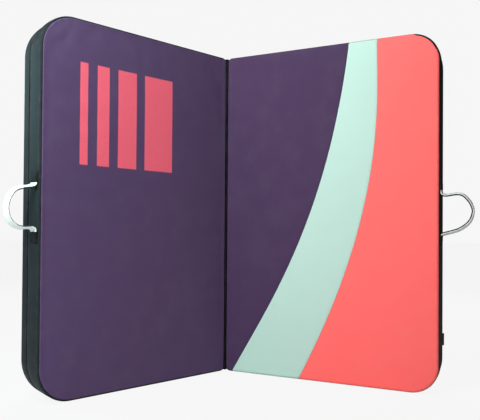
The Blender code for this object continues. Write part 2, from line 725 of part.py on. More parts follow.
def add_shoulder_strap(half, name, middle_s):
    side = half.side
    pivot = add_empty(f"{name}_pivot", half.frame, Vector((side * middle_s, PAD_THICKNESS, STRAP_TOP)))

    def to_space(out, up, across):
        return Vector((side * (middle_s + across), PAD_THICKNESS + out, up))

    shares = [STRAP_PAD_SHARE * i / STRAP_PAD_STEPS for i in range(STRAP_PAD_STEPS + 1)]
    fullness = [sin(pi * i / STRAP_PAD_STEPS) ** 0.5 for i in range(STRAP_PAD_STEPS + 1)]
    widths = [STRAP_PAD_WIDTH * (STRAP_END_WIDTH_SHARE + (1 - STRAP_END_WIDTH_SHARE) * full)
              for full in fullness]
    thicknesses = [STRAP_PAD_THICKNESS * (STRAP_END_THICKNESS_SHARE + (1 - STRAP_END_THICKNESS_SHARE) * full)
                   for full in fullness]
    add_part(f"{name}_pad", ribbon([strap_arch(share) for share in shares], thicknesses, widths,
                                   PAD_SECTION_SHARES, to_space), "strap_grey", pivot)

    heading = strap_heading(STRAP_PAD_SHARE)
    bars = (BUCKLE_BAR, BUCKLE_SLOT, BUCKLE_BAR, BUCKLE_SLOT, BUCKLE_BAR)
    rails = (BUCKLE_RAIL, WEB_WIDTH + BUCKLE_PLAY, BUCKLE_RAIL)
    plate_start = strap_arch(STRAP_PAD_SHARE) + heading * CLEARANCE
    plate = cell_plate(bars, rails, [(1, 1), (3, 1)], ADJUSTER_THICKNESS)
    along = Vector((0, heading.x, heading.y))
    up = Vector((0, heading.y, -heading.x))
    start = to_space(plate_start.x, plate_start.y, 0) - up * ADJUSTER_THICKNESS / 2
    add_part(f"{name}_adjuster", lay_plate(plate, along, Vector((1, 0, 0)), up, start),
             "buckle_black", pivot)

    web_start = plate_start + heading * (sum(bars) + CLEARANCE)
    web = smooth_path(web_start, heading, strap_arch(1), strap_heading(1), WEB_STEPS)
    add_part(f"{name}_web", even_ribbon(web, WEB_THICKNESS, WEB_WIDTH, to_space),
             "webbing_black", pivot)

    down = Vector((0, -1))
    tail_out = CLEARANCE + STRAP_TAIL_THICKNESS / 2
    top = smooth_path(Vector((tail_out, STRAP_TOP + STRAP_TAIL)), down,
                      strap_arch(0) - strap_heading(0) * CLEARANCE, strap_heading(0), BEND_STEPS)
    add_part(f"{name}_top_bend", even_ribbon(top, STRAP_TAIL_THICKNESS,
                                             STRAP_PAD_WIDTH * STRAP_END_WIDTH_SHARE, to_space),
             "strap_grey", half.frame)
    low = smooth_path(strap_arch(1) + strap_heading(1) * CLEARANCE, strap_heading(1),
                      Vector((CLEARANCE + WEB_THICKNESS / 2, STRAP_LOW - STRAP_TAIL)), down, BEND_STEPS)
    add_part(f"{name}_low_bend", even_ribbon(low, WEB_THICKNESS, WEB_WIDTH, to_space),
             "webbing_black", half.frame)


# The fold

def add_fold_tape(root):
    """A folded strip that follows both hinge walls and shows at the bottom of the crease."""
    outer_s = HINGE_GAP - CLEARANCE
    inner_s = outer_s - TAPE_THICKNESS

    def plan(side, s, depth):
        return Vector((side * (s * sin(HALF_ANGLE) + depth * cos(HALF_ANGLE)),
                       depth * sin(HALF_ANGLE) - s * cos(HALF_ANGLE), 0))

    outer = [(outer_s, TAPE_BACK), (outer_s, TAPE_FRONT)]
    inner = [(inner_s, TAPE_FRONT + TAPE_THICKNESS), (inner_s, TAPE_BACK)]
    points = [plan(1, s, depth) for s, depth in outer]
    points += [plan(-1, s, depth) for s, depth in reversed(outer)]
    points += [plan(-1, s, depth) for s, depth in reversed(inner)]
    points += [plan(1, s, depth) for s, depth in inner]
    loops = [[point + Vector((0, 0, z)) for point in points]
             for z in (TAPE_END_GAP, PAD_HEIGHT - TAPE_END_GAP)]
    add_part("fold_tape", loft(loops), "tape_dark", root)


def add_half(name, side, root):
    frame = add_empty(f"{name}_frame", root, Vector((0, 0, 0)))
    frame.rotation_euler = (0, 0, -side * (pi / 2 - HALF_ANGLE))
    half = Half(name, side, frame)
    add_part(f"{name}_front_wall", front_band(side), "wall_black", frame)
    add_part(f"{name}_back_wall", back_band(side), "wall_black", frame)
    add_part(f"{name}_zip", zip_strip(side), "zip_black", frame)
    add_part(f"{name}_hinge_wall", hinge_wall(side), "wall_black", frame)
    add_part(f"{name}_ground_panel", ground_skin(side), "ground_black", frame)
    add_part(f"{name}_top_foam", top_foam(side), "foam_grey", frame)
    add_part(f"{name}_core_foam", core_foam(side), "foam_cream", frame)
    add_part(f"{name}_base_foam", base_foam(side), "foam_grey", frame)
    add_zip_slider(half)
    add_grab_handle(half)
    return half


def main():
    clear_scene()
    root = add_empty("fold_line", None, Vector((0, FOLD_Y, 0)))
    left = add_half("left", -1, root)
    right = add_half("right", 1, root)
    add_part("left_landing_panel", landing_skin(left.side), "plum", left.frame)
    add_colour_panels(right)
    add_fold_tape(root)
    add_closure_straps(left, right)
    add_hip_belt(right)
    for name, offset in (("inner_shoulder_strap", -STRAP_SPACING / 2),
                         ("outer_shoulder_strap", STRAP_SPACING / 2)):
        add_shoulder_strap(right, name, HALF_WIDTH / 2 + offset)


main()
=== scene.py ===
# Folding bouldering crash pad, standing open like a book on its short edges.
# A half is drawn as (s, depth, z): s runs from the fold out to the outer wall,
# depth from the landing face back to the ground face, and z up. Metres.

import json
from math import asin, ceil, cos, pi, radians, sin, sqrt

import bmesh
import bpy
from mathutils import Matrix, Vector, noise


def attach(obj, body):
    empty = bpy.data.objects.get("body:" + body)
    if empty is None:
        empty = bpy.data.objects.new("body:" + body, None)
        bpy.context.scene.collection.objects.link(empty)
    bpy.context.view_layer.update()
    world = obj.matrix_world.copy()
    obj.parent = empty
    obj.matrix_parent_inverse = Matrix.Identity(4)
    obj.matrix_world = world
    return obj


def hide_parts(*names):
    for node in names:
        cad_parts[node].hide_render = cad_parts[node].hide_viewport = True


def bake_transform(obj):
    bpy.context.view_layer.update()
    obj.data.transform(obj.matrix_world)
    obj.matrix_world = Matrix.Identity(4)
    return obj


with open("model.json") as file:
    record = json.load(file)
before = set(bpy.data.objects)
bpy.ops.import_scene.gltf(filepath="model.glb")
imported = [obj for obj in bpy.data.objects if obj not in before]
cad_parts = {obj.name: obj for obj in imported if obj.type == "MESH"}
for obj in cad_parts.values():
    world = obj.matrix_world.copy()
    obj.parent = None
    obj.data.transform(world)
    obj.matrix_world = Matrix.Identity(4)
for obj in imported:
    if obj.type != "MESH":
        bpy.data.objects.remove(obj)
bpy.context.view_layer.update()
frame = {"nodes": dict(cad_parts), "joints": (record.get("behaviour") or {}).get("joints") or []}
print("frame loaded with", len(frame["nodes"]), "nodes")

pad = {
    "width": 0.64, "height": 1.0, "thickness": 0.1, "gap": 0.0015,
    # the outer corners are rounder on the left half, and towards the ground faces
    "cornerRadius": {"left": 0.094, "right": 0.076}, "groundCornerGrowth": 0.014, "hingeCorner": 0.012,
    "crown": 0.003, "crownReach": 0.22, "landingRoll": 0.009, "groundRoll": 0.006, "hingeShare": 0.55,
    # shares of the landing face's roll that the walls' fabric takes
    "hingeRim": 0.12, "rimShare": {"left": 0.60, "right": 0.08}, "cornerRim": {"left": 0.0, "right": 0.60},
    "fabric": 0.0012, "zipDepth": 0.064, "zipWidth": 0.010, "zipLap": 0.0012, "groundLevel": 0.1003,
}
gap, padWidth, padHeight, padThick = pad["gap"], pad["width"], pad["height"], pad["thickness"]
crown, hingeShare = pad["crown"], pad["hingeShare"]
landingRoll, groundRoll = pad["landingRoll"], pad["groundRoll"]

joints = {joint["name"]: joint for joint in frame["joints"]}
foldPoint = Vector(joints["fold"]["pos_m"])
sides = {"left": -1, "right": 1}


def addObject(name, data):
    made = bpy.data.objects.new(name, data)
    bpy.context.scene.collection.objects.link(made)
    return made


def newGrid(columns, rows, size=0.5):
    bm = bmesh.new()
    bmesh.ops.create_grid(bm, x_segments=columns, y_segments=rows, size=size)
    return bm


def toMesh(bm, name):
    mesh = bpy.data.meshes.new(name)
    bm.to_mesh(mesh)
    bm.free()
    return mesh


def axesMatrix(x, y, z, spot):
    return Matrix([(*axis, 0) for axis in (x, y, z)] + [(*spot, 1)]).transposed()


# Camera and light

camera = {
    "focalPx": 607.23, "centrePx": (209.74, 224.98), "framePx": (480, 420),
    "pitch": 0.01373, "roll": 0.00811, "turnDeg": -7.61,
    "height": 0.4376, "fromFold": (-0.0522, -1.9394), "sensor": 36,
}

# place, size, power, tint
lamps = {
    "key": ((-1.3, -1.5, 1.4), 0.8, 34, (0.93, 1.0, 0.99)),
    "upper": ((-0.75, -0.9, 1.7), 0.4, 20.5, (0.82, 1.0, 0.95)),
    "leftRim": ((-1.15, -0.55, 1.6), 0.4, 4, (1.0, 0.50, 0.80)),
    "wallGlow": ((-1.5, 0.3, 1.05), 0.4, 9.5, (0.50, 0.92, 1.0)),
    "behind": ((0.5, 2.8, 1.9), 2.0, 90, (1.0, 0.99, 0.97)),
}

surroundings = {"dome": 0.13, "domeTint": (1.0, 0.50, 0.55, 1), "backdrop": 246, "floorGlow": 247.5,
                "floorTone": (0.78, 0.78, 0.78, 1), "floorSize": 60, "shadowShare": 0.04}


def addCamera():
    across, down = camera["framePx"]
    lens = bpy.data.cameras.new("camera")
    lens.sensor_width = camera["sensor"]
    lens.lens = camera["focalPx"] / across * camera["sensor"]
    lens.shift_x = (across / 2 - camera["centrePx"][0]) / across
    lens.shift_y = (camera["centrePx"][1] - down / 2) / across
    pitch, roll = camera["pitch"], camera["roll"]
    level, upright = Vector((1, 0, 0)), Vector((0, -sin(pitch), cos(pitch)))
    right, up = cos(roll) * level + sin(roll) * upright, cos(roll) * upright - sin(roll) * level
    turn = Matrix.Rotation(radians(camera["turnDeg"]), 4, "Z")
    stand = foldPoint + turn @ Vector((*camera["fromFold"], 0))
    stand.z = camera["height"]
    eye = addObject("camera", lens)
    eye.matrix_world = (Matrix.Translation(stand) @ turn
                        @ axesMatrix(right, up, (0, -cos(pitch), -sin(pitch)), (0, 0, 0)))
    bpy.context.scene.camera = eye


def addLamps():
    target = Vector((0, 0, padHeight / 2))
    for name, (place, size, power, tint) in lamps.items():
        light = bpy.data.lights.new(name, "AREA")
        light.shape, light.size, light.energy, light.color = "DISK", size, power, tint
        holder = addObject(name, light)
        holder.location = place
        holder.rotation_euler = (target - holder.location).to_track_quat("-Z", "Y").to_euler()


# Node trees

def feed(entry, value):
    if isinstance(value, Wire):
        value.tree.links.new(value.socket, entry)
    else:
        entry.default_value = value


def addNode(tree, kind, entries=(), **settings):
    node = tree.nodes.new("ShaderNode" + kind)
    for key, value in settings.items():
        setattr(node, key, value)
    for key, value in dict(entries).items():
        feed(node.inputs[key], value)
    return node


def wire(tree, kind, output, entries=(), **settings):
    return Wire(addNode(tree, kind, entries, **settings).outputs[output])


def maths(operation, *values):
    tree = next(value.tree for value in values if isinstance(value, Wire))
    return wire(tree, "Math", 0, enumerate(values), operation=operation)


class Wire:
    # a node's output; a sum of wires adds the nodes that work it out
    def __init__(self, socket):
        self.socket, self.tree = socket, socket.id_data

    __add__ = __radd__ = lambda a, b: maths("ADD", a, b)
    __mul__ = __rmul__ = lambda a, b: maths("MULTIPLY", a, b)
    __sub__ = lambda a, b: maths("SUBTRACT", a, b)
    __rsub__ = lambda a, b: maths("SUBTRACT", b, a)
    __truediv__ = lambda a, b: maths("DIVIDE", a, b)
    __rtruediv__ = lambda a, b: maths("DIVIDE", b, a)
    __abs__ = lambda a: maths("ABSOLUTE", a)


def mixTones(share, first, second):
    return wire(share.tree, "Mix", 2, {"Factor": share, 6: first, 7: second}, data_type="RGBA")


def remap(value, low, high, outLow=0.0, outHigh=1.0, smooth=False):
    entries = {"Value": value, "From Min": low, "From Max": high, "To Min": outLow, "To Max": outHigh}
    return wire(value.tree, "MapRange", "Result", entries,
                interpolation_type="SMOOTHSTEP" if smooth else "LINEAR")


def noiseAt(vector, scale, detail=2.0, roughness=0.5):
    return wire(vector.tree, "TexNoise", "Fac",
                {"Vector": vector, "Scale": scale, "Detail": detail, "Roughness": roughness})


def splitVector(vector):
    node = addNode(vector.tree, "SeparateXYZ", {0: vector})
    return Wire(node.outputs[0]), Wire(node.outputs[1])


def directRay(tree):
    # 1 for a ray that should see the plain backdrop, straight from the camera or through glass
    path = addNode(tree, "LightPath").outputs
    return maths("MAXIMUM", Wire(path["Is Camera Ray"]), Wire(path["Is Transmission Ray"]))


def linear(level):
    level = level / 255
    return level / 12.92 if level <= 0.04045 else ((level + 0.055) / 1.055) ** 2.4


def tone(red, green, blue):
    return (linear(red), linear(green), linear(blue), 1)


def grey(level):
    return tone(level, level, level)


def emptyTree(owner):
    owner.use_nodes = True
    owner.node_tree.nodes.clear()
    return owner.node_tree


def addWorld():
    bpy.context.scene.world = bpy.data.worlds.new("studio")
    tree = emptyTree(bpy.context.scene.world)
    dome = wire(tree, "Background", 0, {"Color": surroundings["domeTint"], "Strength": surroundings["dome"]})
    plain = wire(tree, "Background", 0, {"Color": grey(surroundings["backdrop"])})
    choice = wire(tree, "MixShader", 0, {"Fac": directRay(tree), 1: dome, 2: plain})
    addNode(tree, "OutputWorld", {"Surface": choice})


def addFloor():
    floor = addObject("floor", toMesh(newGrid(4, 4, surroundings["floorSize"] / 2), "floor"))
    look = bpy.data.materials.new("floor_pale")
    tree = emptyTree(look)
    lit = wire(tree, "BsdfDiffuse", 0, {"Color": surroundings["floorTone"]})
    glow = wire(tree, "Emission", 0, {"Color": grey(surroundings["floorGlow"])})
    share = directRay(tree) * (1 - surroundings["shadowShare"])
    addNode(tree, "OutputMaterial", {"Surface": wire(tree, "MixShader", 0, {"Fac": share, 1: lit, 2: glow})})
    floor.data.materials.append(look)


bpy.context.scene.view_settings.view_transform = "Standard"
addCamera()
addLamps()
addWorld()
addFloor()
print("camera, lamps and floor set")


# Effects that several finishes share, as node groups

def makeEffect(name, build, outputs, **inputs):
    # an input's first value tells its kind; build gives the outputs
    group = bpy.data.node_groups.new(name, "ShaderNodeTree")
    for label, start in {"Vector": None, **inputs}.items():
        kind = {float: "Float", tuple: "Color"}.get(type(start), "Vector")
        socket = group.interface.new_socket(label.replace("_", " "), in_out="INPUT",
                                            socket_type="NodeSocket" + kind)
        if start is not None:
            socket.default_value = start
    for label in outputs:
        kind = "Color" if label == "Colour" else "Float"
        group.interface.new_socket(label, in_out="OUTPUT", socket_type="NodeSocket" + kind)
    entry, leave = group.nodes.new("NodeGroupInput").outputs, group.nodes.new("NodeGroupOutput").inputs
    made = build(*(Wire(entry[index]) for index in range(1 + len(inputs))))
    for label, value in zip(outputs, made):
        feed(leave[label], value)
    return group


def weaveOf(vector, thread):
    # plain weave: at each crossing one thread lies over the other
    across, along = (maths("SINE", axis / thread * pi) for axis in splitVector(vector))
    over = maths("GREATER_THAN", across * along, 0.0)
    warp, weft = abs(across), abs(along)
    return warp * (weft * 0.4 + 0.6) * over + weft * (warp * 0.4 + 0.6) * (1 - over), over


def dyeOf(vector, colour, change, fleck, dust, dustColour):
    # uneven dye, thread flecks, and pale dust that gathers unevenly
    broad, cloudy = noiseAt(vector, 3.2, 3.0), noiseAt(vector, 17.0, 4.0, 0.6)
    spots = noiseAt(vector, 620.0, 1.0)
    swing = (broad - 0.5) + (cloudy - 0.5) * 0.5
    level = (spots - 0.5) * fleck + (swing * change + 1.0)
    dyed = wire(vector.tree, "VectorMath", 0, {0: colour, "Scale": level}, operation="SCALE")
    settled = remap(cloudy, 0.42, 0.72, smooth=True) * dust
    return mixTones(settled, dyed, dustColour), settled


def wearOf(vector, wear, amount):
    # scuffs where the piece's wear attribute is high, broken up by noise
    spot = noiseAt(vector, 55.0, 5.0, 0.65) + wear * 0.30 - 0.66
    return (remap(spot, 0.0, 0.22, smooth=True) * amount,)


def ribsOf(vector, pitch):
    # webbing: ribs across the strap in a herringbone, with fine threads along them
    across, along = splitVector(vector)
    zigzag = maths("PINGPONG", across, 0.0045)
    rib = abs(maths("SINE", (along + zigzag * 0.7) / pitch * pi))
    thread = abs(maths("SINE", across * (pi / 0.0009)))
    return thread * 0.3 + rib * 0.7, 1.0 - rib


def airMeshOf(vector, cell):
    # spacer mesh: rows of small open cells
    away = wire(vector.tree, "TexVoronoi", "Distance",
                {"Vector": vector, "Scale": 1.0 / cell, "Randomness": 0.22},
                feature="F1", voronoi_dimensions="2D")
    hole = remap(away, 0.22, 0.36, 1.0, 0.0, smooth=True)
    return 1.0 - hole, hole


def grainOf(vector, size):
    # moulded or cast grain with a few longer scratches
    stretched = wire(vector.tree, "Mapping", 0, {"Vector": vector, "Rotation": (0.4, 0.9, 0.3),
                                                 "Scale": (60, 900, 900)})
    return (wire(vector.tree, "TexNoise", "Fac", {"Vector": vector, "Scale": size}),
            remap(noiseAt(stretched, 1.0), 0.66, 0.74, smooth=True))


weave = makeEffect("plain weave", weaveOf, ("Height", "Over"), Thread=0.0008)
dye = makeEffect("dye and dust", dyeOf, ("Colour", "Dusty"), Colour=(0.5, 0.5, 0.5, 1), Change=0.1, Fleck=0.1,
                 Dust=0.05, Dust_Colour=(0.6, 0.58, 0.54, 1))
wear = makeEffect("edge wear", wearOf, ("Mask",), Wear=0.0, Amount=0.5)
ribs = makeEffect("webbing ribs", ribsOf, ("Height", "Groove"), Rib=0.0016)
airMesh = makeEffect("air mesh", airMeshOf, ("Height", "Hole"), Cell=0.003)
grain = makeEffect("fine grain", grainOf, ("Height", "Scratch"), Size=900.0)


def useEffect(group, vector, **values):
    node = vector.tree.nodes.new("ShaderNodeGroup")
    node.node_tree = group
    feed(node.inputs["Vector"], vector)
    for label, value in values.items():
        feed(node.inputs[label.replace("_", " ")], value)
    return {output.name: Wire(output) for output in node.outputs}


# Finishes

def newLook(name):
    look = bpy.data.materials.new(name)
    look.use_nodes = True
    return look, look.node_tree, look.node_tree.nodes["Principled BSDF"].inputs


def inSpace(tree):
    return wire(tree, "TexCoord", "Object")


def onCloth(tree):
    return wire(tree, "UVMap", 0, uv_map="cloth")


def pressInto(shader, height, strength, distance, under=None):
    entries = {"Strength": strength, "Distance": distance, "Height": height}
    if under:
        entries["Normal"] = under
    bump = wire(height.tree, "Bump", 0, entries)
    feed(shader["Normal"], bump)
    return bump


# tone, thread's pitch, change of dye, flecks, dust, scuffs, roughness, sheen, gloss, tone of dust
finishes = {
    # The two plum rows are one plum fabric in two tones: the right half's darker tone is painted shade.
    "plum_left": ((85, 64, 103), 0.0009, 0.06, 0.16, 0.02, 0.03, 0.78, 0.06, 0.25, (176, 172, 164)),
    "plum_right_shaded": ((65, 43, 77), 0.0009, 0.06, 0.16, 0.018, 0.04, 0.78, 0.06, 0.25, (176, 172, 164)),
    "mint": ((181, 211, 200), 0.0009, 0.05, 0.06, 0.03, 0.10, 0.78, 0.03, 0.25, (150, 146, 136)),
    "coral": ((255, 105, 102), 0.0009, 0.06, 0.07, 0.02, 0.10, 0.78, 0.03, 0.25, (176, 172, 164)),
    # The wall's tone is near-black fabric with a teal tint that is painted cool light.
    "wall": ((25, 33, 35), 0.0011, 0.16, 0.22, 0.01, 0.03, 0.66, 0.0, 0.12, (176, 172, 164)),
    "ground": ((39, 40, 43), 0.0014, 0.12, 0.25, 0.025, 0.10, 0.66, 0.10, 0.25, (176, 172, 164)),
    "tape": ((16, 12, 20), 0.0008, 0.10, 0.15, 0.03, 0.10, 0.80, 0.0, 0.12, (176, 172, 164)),
    "patch": ((14, 18, 20), 0.0010, 0.12, 0.20, 0.01, 0.03, 0.70, 0.0, 0.12, (176, 172, 164)),
}

# plain bars on the left landing face, as (start, end) in s
bars = {"runs": ((0.222, 0.322), (0.350, 0.412), (0.440, 0.478), (0.506, 0.530)),
        "low": 0.615, "high": 0.885, "tone": (248, 103, 124)}


def printBars(flat, base):
    def inside(place, low, high):
        away = abs(place - (low + high) / 2)
        return remap(away, (high - low) / 2 - 0.0008, (high - low) / 2 + 0.0004, 1.0, 0.0)

    across, up = splitVector(flat)
    inked = sum(inside(across, *run) for run in bars["runs"]) * inside(up, bars["low"], bars["high"])
    inked *= remap(noiseAt(flat, 160.0, 3.0), 0.25, 0.42, 0.86, 1.0)
    return mixTones(inked, base, tone(*bars["tone"]))


def makeCloth(name):
    shade, thread, change, fleck, dust, scuff, rough, sheen, gloss, dustTone = finishes[name]
    look, tree, shader = newLook("cloth_" + name)
    place, flat = inSpace(tree), onCloth(tree)
    base = printBars(flat, tone(*shade)) if name == "plum_left" else tone(*shade)
    dyed = useEffect(dye, place, Colour=base, Change=change, Fleck=fleck, Dust=dust,
                     Dust_Colour=tone(*dustTone))
    threads = useEffect(weave, flat, Thread=thread)
    worn = wire(tree, "Attribute", "Fac", attribute_name="wear")
    scuffs = useEffect(wear, place, Wear=worn, Amount=scuff)
    # darkening the weave's low places is painted shade between the threads
    shaded = mixTones((1.0 - threads["Height"]) * 0.22, dyed["Colour"], grey(0))
    feed(shader["Base Color"], mixTones(scuffs["Mask"], shaded, tone(*dustTone)))
    feed(shader["Roughness"], threads["Over"] * 0.05 + (dyed["Dusty"] * 1.2 + rough))
    feed(shader["Sheen Weight"], sheen)
    feed(shader["Sheen Roughness"], 0.45)
    feed(shader["Specular IOR Level"], gloss)
    crinkle = pressInto(shader, noiseAt(place, 90.0, 4.0, 0.6), 0.20, 0.0010)
    pressInto(shader, threads["Height"], 0.35, 0.0003, crinkle)
    return look


# tone, rib's pitch, roughness, dust, tone of dust
webbings = {
    "pale": ((236, 246, 242), 0.0017, 0.72, 0.10, (150, 146, 138)),
    "lining": ((20, 22, 24), 0.0014, 0.78, 0.05, (150, 148, 142)),
    "black": ((31, 32, 34), 0.0016, 0.74, 0.06, (150, 148, 142)),
    "binding": ((26, 27, 29), 0.0011, 0.76, 0.05, (150, 148, 142)),
}


def makeWebbing(name):
    shade, pitch, rough, dust, dustTone = webbings[name]
    look, tree, shader = newLook("webbing_" + name)
    woven = useEffect(ribs, onCloth(tree), Rib=pitch)
    dyed = useEffect(dye, inSpace(tree), Colour=tone(*shade), Change=0.08, Fleck=0.12, Dust=dust,
                     Dust_Colour=tone(*dustTone))
    # darkening the ribs' grooves is painted shade
    feed(shader["Base Color"], mixTones(woven["Groove"] * 0.34, dyed["Colour"], grey(0)))
    feed(shader["Roughness"], woven["Groove"] * 0.10 + rough)
    feed(shader["Sheen Weight"], 0.15)
    feed(shader["Specular IOR Level"], 0.35)
    pressInto(shader, woven["Height"], 0.5, 0.0004)
    return look


def makeMesh(name, dark, light):
    look, tree, shader = newLook(name)
    cells = useEffect(airMesh, onCloth(tree), Cell=0.0032)
    dyed = useEffect(dye, inSpace(tree), Colour=light, Change=0.10, Fleck=0.12, Dust=0.05)
    # the dark tone in the open cells is painted shade inside the holes
    feed(shader["Base Color"], mixTones(cells["Hole"], dyed["Colour"], dark))
    feed(shader["Roughness"], cells["Hole"] * 0.12 + 0.78)
    feed(shader["Sheen Weight"], 0.12)
    pressInto(shader, cells["Height"], 0.7, 0.0008)
    return look


def makeFoam(name, shade, cell):
    look, tree, shader = newLook(name)
    place = inSpace(tree)
    pores = wire(tree, "TexVoronoi", "Distance", {"Vector": place, "Scale": 1 / cell})
    dyed = useEffect(dye, place, Colour=shade, Change=0.08, Fleck=0.10, Dust=0.02)
    # darkening the pores towards black is painted shade inside them
    deep = remap(pores, 0.0, 0.5, 0.35, 0.0)
    feed(shader["Base Color"], mixTones(deep, dyed["Colour"], (0.02, 0.02, 0.02, 1)))
    feed(shader["Roughness"], deep * 0.1 + 0.88)
    pressInto(shader, pores, 0.6, cell / 3)
    return look


def makeHard(name, shade, rough, metallic, scratch):
    look, tree, shader = newLook(name)
    place = inSpace(tree)
    marks = useEffect(grain, place, Size=1400.0)
    dyed = useEffect(dye, place, Colour=shade, Change=0.10, Fleck=0.06, Dust=0.04)
    feed(shader["Base Color"], mixTones(marks["Scratch"] * scratch, dyed["Colour"], (0.35, 0.35, 0.35, 1)))
    feed(shader["Roughness"], (noiseAt(place, 60.0, 3.0) - 0.5) * 0.25 + rough)
    feed(shader["Metallic"], metallic)
    pressInto(shader, marks["Height"], 0.18, 0.0001)
    return look


def makeThread(name, shade):
    look, tree, shader = newLook("thread_" + name)
    place = inSpace(tree)
    twist = noiseAt(place, 2400.0, 1.0)
    dyed = useEffect(dye, place, Colour=shade, Change=0.08, Fleck=0.25, Dust=0.05)
    feed(shader["Base Color"], dyed["Colour"])
    feed(shader["Roughness"], twist * 0.15 + 0.55)
    pressInto(shader, twist, 0.4, 0.0001)
    return look


looks = {name: makeCloth(name) for name in finishes}
looks |= {name + "Web": makeWebbing(name) for name in webbings}
looks |= {name + "Thread": makeThread(name, tone(*shade)) for name, shade in (
    ("plum", (62, 50, 82)), ("mint", (176, 212, 198)), ("coral", (226, 92, 88)),
    ("black", (24, 27, 29)), ("pale", (196, 206, 200)))}
looks |= {
    "strapMesh": makeMesh("air_mesh", tone(14, 14, 15), tone(58, 60, 63)),
    "closedFoam": makeFoam("foam_closed", tone(148, 150, 152), 0.0012),
    "openFoam": makeFoam("foam_open", tone(225, 216, 190), 0.0024),
    "buckle": makeHard("buckle_plastic", tone(27, 27, 29), 0.40, 0.0, 0.20),
    "coil": makeHard("zip_coil", tone(10, 10, 11), 0.55, 0.0, 0.03),
    "metal": makeHard("zip_metal", tone(150, 152, 156), 0.34, 1.0, 0.30),
}
print("finishes made")


# Placing a half's drawing, and turning a bmesh into a piece

def halfPlace(half):
    out = Vector(joints[half + "_zip_slide"]["axis"])
    back = (-sides[half] * out.y, sides[half] * out.x, 0)
    return axesMatrix((out.x, out.y, 0), back, (0, 0, 1), (foldPoint.x, foldPoint.y, 0))


places = {half: halfPlace(half) for half in sides}


def dress(bm, name, look, sharp=None):
    mesh = toMesh(bm, name)
    mesh.materials.append(looks[look])
    mesh.shade_smooth()
    if sharp:
        mesh.set_sharp_from_angle(angle=radians(sharp))
    return addObject(name, mesh)


def standFor(piece, slot, *nodes, fill=None):
    if nodes:
        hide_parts(*nodes)


def addPiece(name, bm, look, half, slot, *nodes, body=None, fill=None, thick=None, sharp=50, hold=None):
    # from (s, depth, z); a sheet keeps its outer face and gets its thickness inwards
    bmesh.ops.transform(bm, matrix=places[half], verts=bm.verts)
    if sides[half] < 0:
        bmesh.ops.reverse_faces(bm, faces=bm.faces)
    piece = dress(bm, name, look, sharp)
    if thick:
        solid = piece.modifiers.new("thickness", "SOLIDIFY")
        solid.thickness, solid.offset = thick, -1
    if hold:
        hold(piece)
    else:
        body = body or half + "_half"
        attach(piece, body)
    standFor(piece, slot, *nodes, fill=fill)


def gridSheet(columns, rows, place, flip=False):
    # place(column, row) gives each corner's (s, depth, z), its cloth coordinates and its wear
    bm = newGrid(columns, rows)
    cloth = bm.loops.layers.uv.new("cloth")
    worn = bm.verts.layers.float.new("wear")
    flat = {}
    for vert in bm.verts:
        column, row = round((vert.co.x + 0.5) * columns), round((vert.co.y + 0.5) * rows)
        vert.co, flat[vert], vert[worn] = place(column, row)
    for face in bm.faces:
        for loop in face.loops:
            loop[cloth].uv = flat[loop.vert]
    if flip:
        bmesh.ops.reverse_faces(bm, faces=bm.faces)
    return bm


def clamp(value, low=0, high=1):
    return min(high, max(low, value))


def easeStep(low, high, value):
    share = clamp((value - low) / (high - low))
    return share * share * (3 - 2 * share)


def wave(s, z, scale, seed):
    return noise.noise(Vector((s * scale, z * scale, seed)))


def lengthsAlong(points):
    made = [0.0]
    for a, b in zip(points, points[1:]):
        made.append(made[-1] + (b - a).length)
    return made


# The landing face's form, on square coordinates whose corners are then rounded

def insetOf(s, z):
    return min(s - gap, padWidth - s, z, padHeight - z)


def outerInset(s, z):
    return min(padWidth - s, z, padHeight - z)


def cornerAt(s, z, big):
    # in a rounded corner: its centre, the distance from it, and the way out in s and z
    near = pad["hingeCorner"]
    for centreS, wayS, radius in ((gap + near, -1, near), (padWidth - big, 1, big)):
        for centreZ, wayZ in ((radius, -1), (padHeight - radius, 1)):
            x, y = (s - centreS) * wayS / radius, (z - centreZ) * wayZ / radius
            if x > 0 and y > 0:
                turn = pi / 4 * y / x if x >= y else pi / 2 - pi / 4 * x / y
                return centreS, centreZ, radius * max(x, y), wayS * cos(turn), wayZ * sin(turn)
    return None


def groundRadius(half):
    return pad["cornerRadius"][half] + pad["groundCornerGrowth"]


def roundCorner(s, z, big):
    found = cornerAt(s, z, big)
    if not found:
        return s, z
    centreS, centreZ, reach, outS, outZ = found
    return centreS + reach * outS, centreZ + reach * outZ


def crownFall(inset):
    return crown * (1 - clamp((inset - landingRoll) / (pad["crownReach"] - landingRoll))) ** 2


def edgeShare(s, z):
    # rolled edges are full size round the pad and smaller along the fold
    found = cornerAt(s, z, pad["cornerRadius"]["right"])
    if found:
        return 1 - (1 - hingeShare) * max(0, -found[3])
    return hingeShare if s - gap < outerInset(s, z) else 1


def rollFall(inset, roll):
    return 0 if inset >= roll else roll - sqrt(roll * roll - (roll - max(inset, 0)) ** 2)


def landingDepth(s, z):
    rise = max(crownFall(outerInset(s, z)), hingeShare * crownFall(s - gap))
    return rise + rollFall(insetOf(s, z), edgeShare(s, z) * landingRoll)


def groundDepth(s, z):
    return padThick - rollFall(insetOf(s, z), edgeShare(s, z) * groundRoll)


def edgeInsets(roll, steps, rimShare=0.0):
    # insets over a rolled edge, from where the wall's fabric ends to the top of the roll
    start = asin(1 - rimShare)
    return [roll * (1 - sin(start * (1 - i / steps))) for i in range(steps + 1)]


def spread(low, high, lowInsets, highInsets, step):
    # positions from low to high: the edges' own insets, and even steps between them
    first, last = low + lowInsets[-1], high - highInsets[-1]
    count = max(1, ceil((last - first) / step))
    middle = [first + (last - first) * i / count for i in range(1, count)]
    return [low + inset for inset in lowInsets] + middle + [high - inset for inset in reversed(highInsets)]


